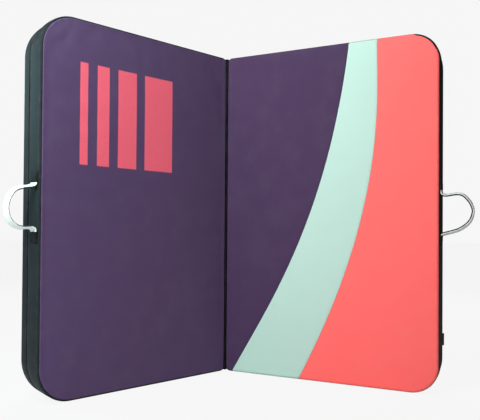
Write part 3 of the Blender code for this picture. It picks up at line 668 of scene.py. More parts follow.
landing = {
    "step": 0.0058, "edgeSteps": 5, "recess": 0.0009, "waves": 0.0006, "pucker": 0.0005,
    "puckerPitch": 0.034, "seamTuck": 0.0012, "tuckReach": 0.0012, "seeds": {"left": 1.5, "right": 4.2},
    # insets between which an effect comes in or goes out
    "recessEdge": (0.004, 0.060), "wrinkleEdge": (0.004, 0.024), "puckerEdge": (0.002, 0.008),
    "puckerEnd": (0.010, 0.034), "wearEnd": (0.001, 0.016),
}
outerInsets = {half: edgeInsets(landingRoll, landing["edgeSteps"], pad["rimShare"][half]) for half in sides}
hingeInsets = edgeInsets(hingeShare * landingRoll, landing["edgeSteps"], pad["hingeRim"])
landingRows = {half: spread(0, padHeight, insets, insets, landing["step"])
               for half, insets in outerInsets.items()}
leftColumns = spread(gap, padWidth, hingeInsets, outerInsets["left"], landing["step"])


def rimShareAt(half, outS, outZ):
    # how much of the roll the wall's fabric takes, which may be more round the top corner
    atCorner = pad["cornerRim"][half] * easeStep(0.0, 0.25, outS) * easeStep(0.0, 0.5, outZ)
    return pad["rimShare"][half] + atCorner


def landingRelief(half, s, z):
    # soft waves over the foam, wrinkles, and small puckers that the sewn edge pulls in
    inset, seed = insetOf(s, z), landing["seeds"][half]
    relief = landing["recess"] + landing["waves"] * wave(s, z, 3.6, seed)
    relief *= easeStep(*landing["recessEdge"], inset)
    relief -= wrinkleAt(half, s, z) * easeStep(*landing["wrinkleEdge"], inset)
    along = z if min(s - gap, padWidth - s) < min(z, padHeight - z) else s
    puckers = 0.5 + 0.5 * sin(along / landing["puckerPitch"] * 2 * pi + 3 * wave(s, z, 6, seed + 3))
    puckers *= (landing["pucker"] * easeStep(*landing["puckerEdge"], inset)
                * (1 - easeStep(*landing["puckerEnd"], inset)))
    found = cornerAt(s, z, pad["cornerRadius"][half])
    atHinge = s - gap < outerInset(s, z)
    rim = pad["hingeRim"] if atHinge else rimShareAt(half, *(found[3:] if found else (0, 0)))
    rim *= landingRoll * edgeShare(s, z)
    tucked = landing["seamTuck"] * (1 - easeStep(rim, rim + landing["tuckReach"], inset))
    return max(relief, 0) + tucked + puckers


def wearAt(s, z):
    atCorner = cornerAt(s, z, pad["cornerRadius"]["right"]) is not None
    return (1 - easeStep(*landing["wearEnd"], insetOf(s, z))) * (0.7 + 0.3 * atCorner)


def landingSpot(half, s, z, extra=0.0):
    roundS, roundZ = roundCorner(s, z, pad["cornerRadius"][half])
    depth = landingDepth(s, z) + landingRelief(half, s, z) + extra
    return Vector((roundS, depth, roundZ)), (roundS, roundZ), wearAt(s, z)


def addLeftLanding():
    rows = landingRows["left"]
    bm = gridSheet(len(leftColumns) - 1, len(rows) - 1,
                   lambda i, j: landingSpot("left", leftColumns[i], rows[j]))
    addPiece("left_landing_cover", bm, "plum_left", "left", "plum_fabric", "left_landing_panel",
             fill=0.9, thick=pad["fabric"])


# Right landing face: three panels along two sewn curves (shares of the half's width and height)
seams = {
    "inner": ((0.0343, 0.0), (0.2121, 0.2044), (0.5165, 0.4724), (0.6107, 1.0)),
    "outer": ((0.3764, 0.0), (0.8064, 0.5278), (0.7333, 0.8473), (0.7365, 1.0)),
    "groove": 0.0016, "grooveReach": 0.0055, "slit": 0.0002, "offsets": (0.0, 0.0006, 0.0016, 0.0032, 0.0055),
}
panels = {"plum": ("hinge", "inner", 46), "mint": ("inner", "outer", 52), "coral": ("outer", "edge", 58)}


def seamTable(name):
    points = []
    for t in (i / 400 for i in range(401)):
        weights = ((1 - t) ** 3, 3 * t * (1 - t) ** 2, 3 * t * t * (1 - t), t ** 3)
        points.append((sum(w * p[1] for w, p in zip(weights, seams[name])) * padHeight,
                       sum(w * p[0] for w, p in zip(weights, seams[name])) * padWidth))
    return points


seamTables = {name: seamTable(name) for name in ("inner", "outer")}


def seamAt(name, z):
    # the seam's s at height z, and how much longer a level step is than one square to the seam
    table = seamTables[name]
    for (lowZ, lowS), (highZ, highS) in zip(table, table[1:]):
        if z <= highZ or highZ >= padHeight - 1e-9:
            slope = (highS - lowS) / (highZ - lowZ)
            return lowS + (z - lowZ) * slope, sqrt(1 + slope * slope)


seamRows = {name: [seamAt(name, z) for z in landingRows["right"]] for name in seamTables}


def panelColumns(row, first, last, count):
    # one row's positions from seam or edge "first" to seam or edge "last"
    def ends(name, sign):
        if name in seamRows:
            at, stretch = seamRows[name][row]
            return [at + sign * (seams["slit"] / 2 + offset) * stretch for offset in seams["offsets"]]
        if name == "hinge":
            return [gap + inset for inset in hingeInsets]
        return [padWidth - inset for inset in outerInsets["right"]]

    low, high = ends(first, 1), ends(last, -1)
    middle = [low[-1] + (high[-1] - low[-1]) * i / count for i in range(1, count)]
    return low + middle + high[::-1]


def grooveFall(away):
    return seams["groove"] * (1 - sqrt(away / seams["grooveReach"])) if away < seams["grooveReach"] else 0


def grooveDepth(s, row):
    return max(grooveFall(abs(s - rows[row][0]) / rows[row][1]) for rows in seamRows.values())


def addRightLanding():
    rows = landingRows["right"]
    for name, (first, last, count) in panels.items():
        table = [panelColumns(row, first, last, count) for row in range(len(rows))]
        bm = gridSheet(len(table[0]) - 1, len(rows) - 1,
                       lambda i, j: landingSpot("right", table[j][i], rows[j], grooveDepth(table[j][i], j)))
        # the right half's plum panel takes the darker plum tone, which is painted shade
        look = "plum_right_shaded" if name == "plum" else name
        addPiece("right_" + name + "_cover", bm, look, "right", name + "_fabric", "right_" + name + "_panel",
                 fill=0.9, thick=pad["fabric"])


# Cloth simulation: a cover that is a little too long, sewn down round its rim and along its seams,
# swells and wrinkles. The wrinkles are kept; the broad swelling, which the crown gives, is taken off.

relaxing = {
    "columns": 72, "rows": 112, "frames": 22, "sewn": 0.0095, "start": 0.0006, "startReach": 0.03,
    "reach": 5, "depth": 0.0006, "cap": 0.0009, "typical": 0.98,
    "cloth": {"quality": 6, "mass": 0.25, "air_damping": 2, "tension_stiffness": 12,
              "compression_stiffness": 12, "shear_stiffness": 5, "bending_stiffness": 0.5,
              "tension_damping": 8, "compression_damping": 8, "shear_damping": 8, "bending_damping": 1,
              "vertex_group_mass": "sewn", "use_pressure": True, "uniform_pressure_force": 1.2,
              "shrink_min": -0.012},
}


def relaxedHeights(half):
    columns, rows = relaxing["columns"], relaxing["rows"]
    bm = newGrid(columns, rows)
    spots, sewn = [], []
    for index, vert in enumerate(bm.verts):
        s, z = (vert.co.x + 0.5) * padWidth, (vert.co.y + 0.5) * padHeight
        spots.append((round((vert.co.x + 0.5) * columns), round((vert.co.y + 0.5) * rows)))
        held = [min(s, padWidth - s, z, padHeight - z)]
        start = relaxing["start"] * wave(s, z, 14, landing["seeds"][half])
        start *= min(1, held[0] / relaxing["startReach"])
        if half == "right":
            held += [abs(s - at) / stretch for at, stretch in (seamAt(name, z) for name in seamTables)]
        if min(held) < relaxing["sewn"]:
            sewn.append(index)
        vert.co = (s, z, start)
    sheet = addObject("relaxing_cover", toMesh(bm, "relaxing_cover"))
    sheet.vertex_groups.new(name="sewn").add(sewn, 1.0, "REPLACE")
    cloth = sheet.modifiers.new("cloth", "CLOTH")
    for key, value in relaxing["cloth"].items():
        setattr(cloth.settings, key, value)
    cloth.settings.effector_weights.gravity = 0
    cloth.collision_settings.use_collision = False
    cloth.point_cache.frame_start, cloth.point_cache.frame_end = 1, relaxing["frames"]
    for step in range(1, relaxing["frames"] + 1):
        bpy.context.scene.frame_set(step)
    settled = sheet.evaluated_get(bpy.context.evaluated_depsgraph_get()).to_mesh()
    heights = [[0.0] * (columns + 1) for row in range(rows + 1)]
    for (i, j), vert in zip(spots, settled.vertices):
        heights[j][i] = vert.co.z
    mesh = sheet.data
    bpy.data.objects.remove(sheet)
    bpy.data.meshes.remove(mesh)
    bpy.context.scene.frame_set(1)
    return heights


def blurred(table, reach):
    # running mean along the rows, then along the columns
    for turn in range(2):
        windows = [[row[max(0, i - reach):i + reach + 1] for i in range(len(row))] for row in table]
        means = [[sum(part) / len(part) for part in row] for row in windows]
        table = [list(column) for column in zip(*means)]
    return table


def wrinklesOf(half):
    heights = relaxedHeights(half)
    broad = blurred(heights, relaxing["reach"])
    fine = blurred([[a - b for a, b in zip(*rows)] for rows in zip(heights, broad)], 1)
    inner = sorted(abs(value) for row in fine[3:-3] for value in row[3:-3])
    scale = relaxing["depth"] / max(inner[int(len(inner) * relaxing["typical"])], 1e-6)
    return [[clamp(value * scale, -relaxing["cap"], relaxing["cap"]) for value in row] for row in fine]


def wrinkleAt(half, s, z):
    if half not in wrinkles:
        return 0.0
    table = wrinkles[half]
    x = clamp(s / padWidth, 0, 0.9999) * relaxing["columns"]
    y = clamp(z / padHeight, 0, 0.9999) * relaxing["rows"]
    i, j = int(x), int(y)
    x, y = easeStep(0, 1, x - i), easeStep(0, 1, y - j)
    low, high = (table[row][i] * (1 - x) + table[row][i + 1] * x for row in (j, j + 1))
    return low * (1 - y) + high * y


wrinkles = {}
wrinkles = {half: wrinklesOf(half) for half in sides}
print("landing covers relaxed")

addLeftLanding()
addRightLanding()
print("landing faces sewn")


# Walls: bands swept along the outline, with the zip between them

walls = {
    "step": 0.007, "frontBulge": 0.0019, "backBulge": 0.0009, "pucker": 0.0004, "puckerPitch": 0.021,
    "ripple": 0.0005, "tuck": 0.0016, "seat": 0.0002, "rimRows": 6, "frontRows": 9, "backRows": 6,
    "frontSeed": 11.0, "backSeed": 23.0,
    # (share of the band, tuck) of the row beside a seam, and the first row's and all rows' shares
    "creaseRow": (0.012, -0.0004), "firstRow": 0.03, "rowSpan": 0.92, "rimTurnIn": (0.0010, 0.0012),
}


def outlineOf(big, counts):
    # (s, z, out s, out z) from the hinge wall's foot round the bottom, the outer wall and the top
    small = pad["hingeCorner"]
    arcs = [(gap + small, small, small, pi), (padWidth - big, big, big, 3 * pi / 2),
            (padWidth - big, padHeight - big, big, 0), (gap + small, padHeight - small, small, pi / 2)]
    line = []
    for index, (centreS, centreZ, radius, start) in enumerate(arcs):
        arc = []
        for i in range(counts["arcs"][index] + 1):
            turn = start + i / counts["arcs"][index] * pi / 2
            arc.append((centreS + radius * cos(turn), centreZ + radius * sin(turn), cos(turn), sin(turn)))
        if line:
            before, pieces = line[-1], counts["runs"][index - 1]
            line += [(*(a + (b - a) * i / pieces for a, b in zip(before[:2], arc[0])), *before[2:])
                     for i in range(1, pieces)]
        line += arc
    return line


def outlineStations(half, step):
    # each station holds its spot at the landing side, its way out, the length so far,
    # and its spot at the ground side, where the outer corners are rounder
    radius = pad["cornerRadius"][half]
    big, level, upright = ceil(radius * pi / 2 / step), ceil(padWidth / step), ceil(padHeight / step)
    counts = {"arcs": [5, big, big, 5], "runs": [level, upright, level]}
    front, back = outlineOf(radius, counts), outlineOf(groundRadius(half), counts)
    made, length = [], 0.0
    for i, (near, far) in enumerate(zip(front, back)):
        if i:
            length += sqrt((near[0] - front[i - 1][0]) ** 2 + (near[1] - front[i - 1][1]) ** 2)
        made.append((*near, length, far[0], far[1]))
    return made


stations = {half: outlineStations(half, walls["step"]) for half in sides}


def stationEdge(station, size):
    return size * (1 - (1 - hingeShare) * max(0, -station[2]))


def landingSeam(station):
    return crown + stationEdge(station, landingRoll) + walls["seat"]


def groundSeam(station):
    return padThick - stationEdge(station, groundRoll) - walls["seat"]


def wallSpot(station, proud, depth):
    front, back = crown + landingRoll, padThick - groundRoll
    share = clamp((depth - front) / (back - front))
    s = station[0] + (station[5] - station[0]) * share
    z = station[1] + (station[6] - station[1]) * share
    return Vector((s + proud * station[2], depth, z + proud * station[3]))


def overRoll(roll, rise, rimShare, sink=0.0):
    # (inset, depth) over the rolled edge, from the sewn edge of the landing face down to the wall
    start = asin(1 - rimShare)
    steps = walls["rimRows"] - 1
    turns = [start + (pi / 2 - start) * k / steps for k in range(steps + 1)]
    rows = [(roll * (1 - sin(turn)), rise + roll * (1 - cos(turn))) for turn in turns]
    rows[0] = (rows[0][0] + sink * 0.3, rows[0][1] + sink)
    inset, depth = walls["rimTurnIn"]
    return [(rows[0][0] + inset, rows[0][1] + depth)] + rows


def bandSwell(station, share, bulge, seed, pinched=True):
    # how far the band stands out of its wall, share of the way from its first row to its last
    free = sin(pi * share)
    ripple = noise.noise(Vector((station[4] * 7, share * 1.5, seed))) * walls["ripple"] * free
    gathers = sin(station[4] / walls["puckerPitch"] * 2 * pi
                  + 2.5 * noise.noise(Vector((station[4] * 9, 0, seed + 2))))
    pinch = walls["pucker"] * gathers * (1 - free) * pinched
    foot = (1 - max(0, -station[2])) * (1 - max(0, -station[3]))
    return (bulge * free + min(0, ripple) * 0.6 + min(0, pinch)) * foot


def bandSheet(line, start, end, bulge, rows, seed, rim=None):
    # the band's first and last rows are turned in, so that its seams read as creases
    crease, shallow = walls["creaseRow"]
    profile = [] if rim else [(0.0, -walls["tuck"]), (crease, shallow)]
    profile += [(walls["firstRow"] + walls["rowSpan"] * i / rows, 0.0) for i in range(rows + 1)]
    profile += [(1 - crease, shallow), (1.0, -walls["tuck"])]
    rims = [overRoll(stationEdge(station, landingRoll), crown, rim(station), landing["seamTuck"])
            for station in line] if rim else []
    lead = len(rims[0]) if rim else 0

    def place(i, j):
        station = line[i]
        if j < lead:
            inset, depth = rims[i][j]
            return wallSpot(station, -inset, depth), (station[4], depth), 0.9 * easeStep(0, lead, j)
        share, tuck = profile[j - lead]
        low, high = start(station), end(station)
        depth = low + (high - low) * share
        swell = bandSwell(station, share, bulge, seed, tuck == 0.0)
        worn = (1 - sin(pi * share)) * 0.7 + 0.3 * (abs(station[2]) > 0.02 and abs(station[3]) > 0.02)
        return wallSpot(station, swell + tuck, depth), (station[4], depth), worn

    return gridSheet(len(line) - 1, lead + len(profile) - 1, place, flip=True)


zipHalf = pad["zipWidth"] / 2 - pad["zipLap"]


def addWalls(half):
    front = bandSheet(stations[half], landingSeam, lambda station: pad["zipDepth"] - zipHalf,
                      walls["frontBulge"], walls["frontRows"], walls["frontSeed"],
                      lambda station: rimShareAt(half, *station[2:4]))
    back = bandSheet(stations[half], lambda station: pad["zipDepth"] + zipHalf, groundSeam,
                     walls["backBulge"], walls["backRows"], walls["backSeed"])
    for name, bm in (("front", front), ("back", back)):
        addPiece(half + "_" + name + "_band", bm, "wall", half, "wall_fabric", half + "_" + name + "_wall",
                 fill=0.9, thick=pad["fabric"])


def scatter(unit, matrices):
    # copies of a small mesh in one bmesh
    bm = bmesh.new()
    for matrix in matrices:
        copy = unit.copy()
        copy.transform(matrix)
        bm.from_mesh(copy)
        bpy.data.meshes.remove(copy)
    return bm


def alongOutline(line, distance):
    # the station at a distance along the outline
    low, high = 0, len(line) - 1
    while high - low > 1:
        middle = (low + high) // 2
        low, high = (middle, high) if line[middle][4] <= distance else (low, middle)
    first, last = line[low], line[high]
    share = (distance - first[4]) / (last[4] - first[4])
    return tuple(a + (b - a) * share for a, b in zip(first, last))


def frameAt(station, proud, depth):
    # X along the outline, Y towards the ground face, Z out of the wall
    out = Vector((station[2], 0, station[3])).normalized()
    return axesMatrix((-out.z, 0, out.x), (0, 1, 0), out, wallSpot(station, proud, depth))


zips = {
    "recess": 0.0020, "pitch": 0.0022, "toothReach": 0.0027, "toothWidth": 0.0012, "toothHeight": 0.0009,
    "toothBevel": 0.0004, "rowOff": 0.0012, "tape": 0.0006, "dip": 0.0003,
    "across": (-0.0060, -0.0050, -0.0034, -0.0018, 0.0, 0.0018, 0.0034, 0.0050, 0.0060),
}


def addZip(half):
    line = stations[half]

    def place(i, j):
        across = zips["across"][j]
        sunk = zips["recess"] + (zips["dip"] if across == 0 else 0)
        return wallSpot(line[i], -sunk, pad["zipDepth"] + across), (line[i][4], across), 0.1

    bm = gridSheet(len(line) - 1, len(zips["across"]) - 1, place, flip=True)
    addPiece(half + "_zip_tape", bm, "tape", half, "zip", half + "_zip", thick=zips["tape"])
    tooth = bmesh.new()
    bmesh.ops.create_cube(tooth, size=1)
    size = (zips["toothWidth"], zips["toothReach"], zips["toothHeight"])
    bmesh.ops.scale(tooth, vec=size, verts=tooth.verts)
    top = [edge for edge in tooth.edges if all(vert.co.z > 0 for vert in edge.verts)]
    bmesh.ops.bevel(tooth, geom=top, offset=zips["toothBevel"], segments=1, profile=0.5, material=-1,
                    affect="EDGES")
    matrices = [frameAt(alongOutline(line, (i + 0.5 + 0.25 * row) * zips["pitch"]),
                        zips["toothHeight"] / 2 - zips["recess"], pad["zipDepth"] + row * zips["rowOff"])
                for i in range(int(line[-1][4] / zips["pitch"])) for row in (-1, 1)]
    addPiece(half + "_zip_coil", scatter(toMesh(tooth, "zip_tooth"), matrices), "coil", half, "zip", sharp=30)


hingeWall = {
    "rows": 130, "end": 0.0002, "dent": 0.0005,
    "profile": ((0.02, 0.0), (0.05, 0.0), (0.2, 0.0), (0.35, 0.0), (0.5, 0.0),
                (0.65, 0.0), (0.8, 0.0), (0.95, 0.0), (0.985, 0.0004), (1.0, 0.0012)),
}


def addHingeWall(half):
    low = pad["hingeCorner"] + hingeWall["end"]
    lead = overRoll(hingeShare * landingRoll, hingeShare * crown, pad["hingeRim"])
    front = hingeShare * (crown + landingRoll) + walls["seat"]
    back = padThick - hingeShare * groundRoll - walls["seat"]

    def place(i, j):
        z = low + (padHeight - 2 * low) * j / hingeWall["rows"]
        if i < len(lead):
            return Vector((gap + lead[i][0], lead[i][1], z)), (lead[i][1], z), 0.4
        share, tuck = hingeWall["profile"][i - len(lead)]
        depth = front + (back - front) * share
        dent = hingeWall["dent"] * sin(pi * share) * (0.5 + 0.5 * wave(depth * 4, z, 9, 31))
        return Vector((gap + tuck + dent, depth, z)), (depth, z), 0.4 * (1 - sin(pi * share))

    bm = gridSheet(len(lead) + len(hingeWall["profile"]) - 1, hingeWall["rows"], place, flip=True)
    addPiece(half + "_hinge_cover", bm, "wall", half, "wall_fabric", half + "_hinge_wall",
             thick=pad["fabric"])


ground = {"step": 0.009, "edgeSteps": 4, "sag": 0.0007}


def addGroundFace(half):
    insets, near = (edgeInsets(groundRoll * share, ground["edgeSteps"]) for share in (1, hingeShare))
    columns = spread(gap, padWidth, near, insets, ground["step"])
    rows = spread(0, padHeight, insets, insets, ground["step"])

    def place(i, j):
        s, z = columns[i], rows[j]
        sag = ground["sag"] * (0.5 + 0.5 * wave(s, z, 5, 41)) * easeStep(0.002, 0.04, insetOf(s, z))
        roundS, roundZ = roundCorner(s, z, groundRadius(half))
        return Vector((roundS, groundDepth(s, z) - sag, roundZ)), (roundS, roundZ), wearAt(s, z)

    bm = gridSheet(len(columns) - 1, len(rows) - 1, place, flip=True)
    addPiece(half + "_ground_cover", bm, "ground", half, "ground_fabric", half + "_ground_panel",
             fill=0.9, thick=pad["fabric"])


for half in sides:
    addWalls(half)
    addZip(half)
    addHingeWall(half)
    addGroundFace(half)
print("walls, zips and ground faces sewn")


# Foam inside, in three layers: front and back depth, look, slot

foam = {
    "inset": 0.0042, "bevel": 0.0025, "columns": 24, "rows": 36,
    "layers": {"top": (0.0045, 0.0215, "closedFoam", "closed_cell_foam"),
               "core": (0.0219, 0.0778, "openFoam", "open_cell_foam"),
               "base": (0.0782, 0.0968, "closedFoam", "closed_cell_foam")},
}


def newVerts(made):
    return [item for item in made["geom"] if isinstance(item, bmesh.types.BMVert)]


def addFoam(half):
    shrinkS, shrinkZ = 1 - 2 * foam["inset"] / padWidth, 1 - 2 * foam["inset"] / padHeight
    middleS, middleZ = (gap + padWidth) / 2, padHeight / 2
    for layer, (front, back, look, slot) in foam["layers"].items():
        bm = newGrid(foam["columns"], foam["rows"])
        for vert in bm.verts:
            s, z = roundCorner(gap + (vert.co.x + 0.5) * (padWidth - gap), (vert.co.y + 0.5) * padHeight,
                               groundRadius(half))
            vert.co = (middleS + (s - middleS) * shrinkS, front, middleZ + (z - middleZ) * shrinkZ)
        made = bmesh.ops.extrude_face_region(bm, geom=bm.faces[:], use_keep_orig=True)
        bmesh.ops.translate(bm, verts=newVerts(made), vec=(0, back - front, 0))
        bmesh.ops.recalc_face_normals(bm, faces=bm.faces)
        rim = [edge for edge in bm.edges if edge.calc_face_angle(0) > 1.0]
        bmesh.ops.bevel(bm, geom=rim, offset=foam["bevel"], segments=2, profile=0.5, material=-1,
                        affect="EDGES")
        addPiece(half + "_" + layer + "_slab", bm, look, half, slot, half + "_" + layer + "_foam", fill=1.0)


for half in sides:
    addFoam(half)
print("foam laid")


# Fabric tape along the fold

foldTape = {
    "depths": (0.0215, 0.018, 0.014, 0.010, 0.0075, 0.0055, 0.0042), "off": 0.0009, "end": 0.004, "rows": 160,
    "apex": ((-0.0012, 0.0028), (0, 0.0025), (0.0012, 0.0028)), "thickness": 0.0006, "slack": 0.0003,
}


def addFoldTape():
    arm = [places["left"] @ Vector((gap - foldTape["off"], depth, 0)) for depth in foldTape["depths"]]
    profile = arm + [Vector((x, foldPoint.y + y, 0)) for x, y in foldTape["apex"]]
    profile += [Vector((-point.x, point.y, 0)) for point in reversed(arm)]
    run = lengthsAlong(profile)

    def place(i, j):
        z = foldTape["end"] + (padHeight - 2 * foldTape["end"]) * j / foldTape["rows"]
        slack = foldTape["slack"] * noise.noise(Vector((i * 0.3, z * 18, 51)))
        return Vector((profile[i].x, profile[i].y + slack, z)), (run[i], z), 0.2

    bm = gridSheet(len(profile) - 1, foldTape["rows"], place)
    bmesh.ops.solidify(bm, geom=bm.faces[:], thickness=-foldTape["thickness"])
    bmesh.ops.recalc_face_normals(bm, faces=bm.faces)
    tape = dress(bm, "fold_crease_tape", "tape")
    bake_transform(tape)
    standFor(tape, "fold_tape", "fold_tape")


addFoldTape()


# Webbing swept along a path

def easedPath(points, steps):
    # a smooth curve through the points, evenly re-spaced
    padded = [points[0] * 2 - points[1], *points, points[-1] * 2 - points[-2]]
    dense = []
    for before, a, b, after in zip(padded, padded[1:], padded[2:], padded[3:]):
        for t in (k / 24 for k in range(24)):
            dense.append(0.5 * ((2 * a) + (b - before) * t + (2 * before - 5 * a + 4 * b - after) * t * t
                                + (3 * a - before - 3 * b + after) * t ** 3))
    dense.append(padded[-2])
    lengths = lengthsAlong(dense)
    path, k = [], 0
    for i in range(steps + 1):
        want = lengths[-1] * i / steps
        while k < len(dense) - 2 and lengths[k + 1] < want:
            k += 1
        share = (want - lengths[k]) / max(lengths[k + 1] - lengths[k], 1e-9)
        path.append(dense[k].lerp(dense[k + 1], clamp(share)))
    return path


def flatSection(width, thickness, side=8):
    # round-edged flat section, as (across, off the path), once round
    reach = thickness / 2
    half = width / 2 - reach
    face = [(-half + 2 * half * i / side, reach) for i in range(side + 1)]
    face += [(half + reach * sin(t), reach * cos(t)) for t in (pi / 4, pi / 2, 3 * pi / 4)]
    points = face + [(-wide, -lift) for wide, lift in face]
    return points + points[:1]


def closeUp(bm):
    # a swept tube as a closed solid
    bmesh.ops.remove_doubles(bm, verts=bm.verts, dist=0.000001)
    bmesh.ops.holes_fill(bm, edges=[edge for edge in bm.edges if edge.is_boundary])
    bmesh.ops.recalc_face_normals(bm, faces=bm.faces)
    if bm.calc_volume(signed=True) < 0:
        bmesh.ops.reverse_faces(bm, faces=bm.faces)
    return bm


def sweepStrap(path, across, section, wear=0.2, flare=0.0):
    # path in (s, depth, z); across is the strap's width direction, which the flare leans off the path
    lengths, rounds = lengthsAlong(path), lengthsAlong([Vector(spot) for spot in section])
    across = Vector(across).normalized()
    edge = 0.42 * (section[len(section) // 4][0] * 2 or 1)

    def place(i, j):
        along = path[min(i + 1, len(path) - 1)] - path[max(i - 1, 0)]
        off = along.cross(across).normalized()
        leant = (across + off * flare * abs(off.z)).normalized()
        off = along.cross(leant).normalized()
        wide, lift = section[j]
        return path[i] + leant * wide + off * lift, (rounds[j], lengths[i]), wear + 0.6 * (abs(wide) > edge)

    return closeUp(gridSheet(len(path) - 1, len(section) - 1, place))


# Grab handles: one pale webbing with a dark lining, sewn down under two patches

handle = {
    "depth": 0.028, "height": 0.5, "width": 0.030, "thickness": 0.0021, "steps": 96, "flare": 0.165,
    "liningWidth": {"left": 0.020, "right": 0.027}, "lining": 0.0036, "liningFrom": 0.0070,
    "liningOff": 0.0001,
    "bend": (0.0040, 0.0160),
    # distance off the outer wall, and height from the handle's middle
    "left": ((0.0032, 0.0660), (0.0033, 0.0622), (0.0050, 0.0578), (0.0095, 0.0550), (0.0165, 0.0532),
             (0.030, 0.0514), (0.045, 0.0472), (0.0545, 0.0428), (0.0635, 0.0335), (0.0710, 0.0205),
             (0.0758, 0.0010), (0.0745, -0.0160), (0.0705, -0.0290), (0.0640, -0.0390), (0.0550, -0.0470),
             (0.0450, -0.0515), (0.033, -0.0535), (0.0200, -0.0525), (0.0110, -0.0525), (0.0058, -0.0545),
             (0.0034, -0.0590), (0.0032, -0.0650)),
    "right": ((0.0032, 0.0650), (0.0033, 0.0585), (0.0048, 0.0530), (0.0095, 0.0502), (0.0158, 0.0492),
              (0.028, 0.0508), (0.0413, 0.0525), (0.052, 0.0518), (0.0625, 0.0465), (0.0735, 0.0345),
              (0.0810, 0.0215), (0.0855, 0.0040), (0.0815, -0.0165), (0.0735, -0.0300), (0.0620, -0.0405),
              (0.0500, -0.0480), (0.0395, -0.0522), (0.0270, -0.0560), (0.0161, -0.0590), (0.0095, -0.0608),
              (0.0048, -0.0630), (0.0032, -0.0665)),
}
patch = {
    "width": 0.034, "length": 0.029, "near": 0.0612, "thickness": 0.0030, "lift": 0.0021, "foot": 0.0004,
    "cells": 18, "edge": (-0.0005, 0.0022), "rim": 0.003,
    "webbing": 0.0010, "webbingEdge": 0.004, "webbingEnd": (0.016, 0.024),
    "groove": 0.0005, "grooveInset": 0.0040, "grooveWidth": 0.0012,
}


def handlePoint(out, up, across=0.0):
    return Vector((padWidth + out, handle["depth"] + across, handle["height"] + up))


def addHandle(half):
    path = easedPath([handlePoint(out, up) for out, up in handle[half]], handle["steps"])
    across = Vector((0, 1, 0))
    start, end = (places[half] @ handlePoint(out, 0) for out in handle["bend"])

    def hold(piece):
        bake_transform(piece)
        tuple(start)
        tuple(end)

    loop = sweepStrap(path, across, flatSection(handle["width"], handle["thickness"]), flare=handle["flare"])
    addPiece(half + "_handle_webbing", loop, "paleWeb", half, "pale_webbing", half + "_handle_loop",
             half + "_handle_upper_bend", half + "_handle_lower_bend", hold=hold)
    inner = []
    away = (handle["thickness"] + handle["lining"]) / 2 + handle["liningOff"]
    for before, point, after in zip(path, path[1:], path[2:]):
        if point.x - padWidth > handle["liningFrom"]:
            inner.append(point - (after - before).cross(across).normalized() * away)
    lining = sweepStrap(inner, across, flatSection(handle["liningWidth"][half], handle["lining"]),
                        flare=handle["flare"])
    addPiece(half + "_handle_inner_webbing", lining, "liningWeb", half, "black_webbing",
             half + "_handle_lining", hold=hold)
    for name, up in (("upper", 1), ("lower", -1)):
        addPatch(half, name, up)


def patchSurface(across, along):
    # how far the patch stands out of the wall, and how far the point is from the patch's rim
    run = along - patch["near"]
    rim = min(patch["width"] / 2 - abs(across), run, patch["near"] + patch["length"] - along)
    lift = patch["thickness"] * easeStep(*patch["edge"], rim)
    lift += (patch["webbing"] * easeStep(0.0, patch["webbingEdge"], handle["width"] / 2 - abs(across))
             * (1 - easeStep(*patch["webbingEnd"], run)) * easeStep(0, patch["rim"], rim))
    lift -= patch["groove"] * max(0, 1 - abs(rim - patch["grooveInset"]) / patch["grooveWidth"])
    return patch["lift"] + lift, rim


def addPatch(half, name, up):
    def place(i, j):
        across = (i / patch["cells"] - 0.5) * patch["width"]
        along = patch["near"] + patch["length"] * j / patch["cells"]
        out, rim = patchSurface(across, along)
        return handlePoint(out, up * along, across), (across, along), 0.8 * (1 - easeStep(0, patch["rim"], rim))

    bm = gridSheet(patch["cells"], patch["cells"], place, flip=up < 0)
    made = bmesh.ops.extrude_edge_only(bm, edges=[edge for edge in bm.edges if edge.is_boundary])
    for vert in newVerts(made):
        vert.co.x = padWidth + patch["foot"]
    bmesh.ops.holes_fill(bm, edges=[edge for edge in bm.edges if edge.is_boundary])
    bmesh.ops.recalc_face_normals(bm, faces=bm.faces)
    addPiece(half + "_handle_" + name + "_cover", bm, "patch", half, "black_webbing",
             half + "_handle_" + name + "_patch")


for half in sides:
    addHandle(half)
print("handles sewn on")


# Straps on the ground faces: closure straps and tabs, hip belt, shoulder straps

flatStraps = {
    # half, root s, direction, height, length, width, thickness, buckle
    "closure_lower_strap": ("left", padWidth - 0.045, -1, 0.140, 0.240, 0.025, 0.0020, "clip"),
    "closure_upper_strap": ("left", padWidth - 0.045, -1, 0.860, 0.240, 0.025, 0.0020, "clip"),
    "closure_lower_tab": ("right", padWidth - 0.0543, 1, 0.140, 0.022, 0.025, 0.0020, "socket"),
    "closure_upper_tab": ("right", padWidth - 0.0613, 1, 0.860, 0.022, 0.025, 0.0020, "socket"),
    "hip_belt_outer": ("right", padWidth / 2 + 0.1975, -1, 0.200, 0.135, 0.038, 0.0025, "clip"),
    "hip_belt_inner": ("right", padWidth / 2 - 0.1975, 1, 0.200, 0.135, 0.038, 0.0025, "socket"),
}


def addFlatStrap(name, half, root, toward, height, length, width, thickness, buckle):
    count = max(8, int(length / 0.006))
    path = []
    for share in (i / count for i in range(count + 1)):
        lift = 0.0001 + thickness / 2 + 0.0006 * sin(pi * share) ** 2 * (0.5 + 0.5 * sin(share * 9))
        path.append(Vector((root + toward * length * share, pad["groundLevel"] + lift, height)))
    bm = sweepStrap(path, (0, 0, 1), flatSection(width, thickness))
    addPiece(name + "_webbing", bm, "blackWeb", half, "black_webbing", name + "_web", body=name)


for name, spec in flatStraps.items():
    addFlatStrap(name, *spec)


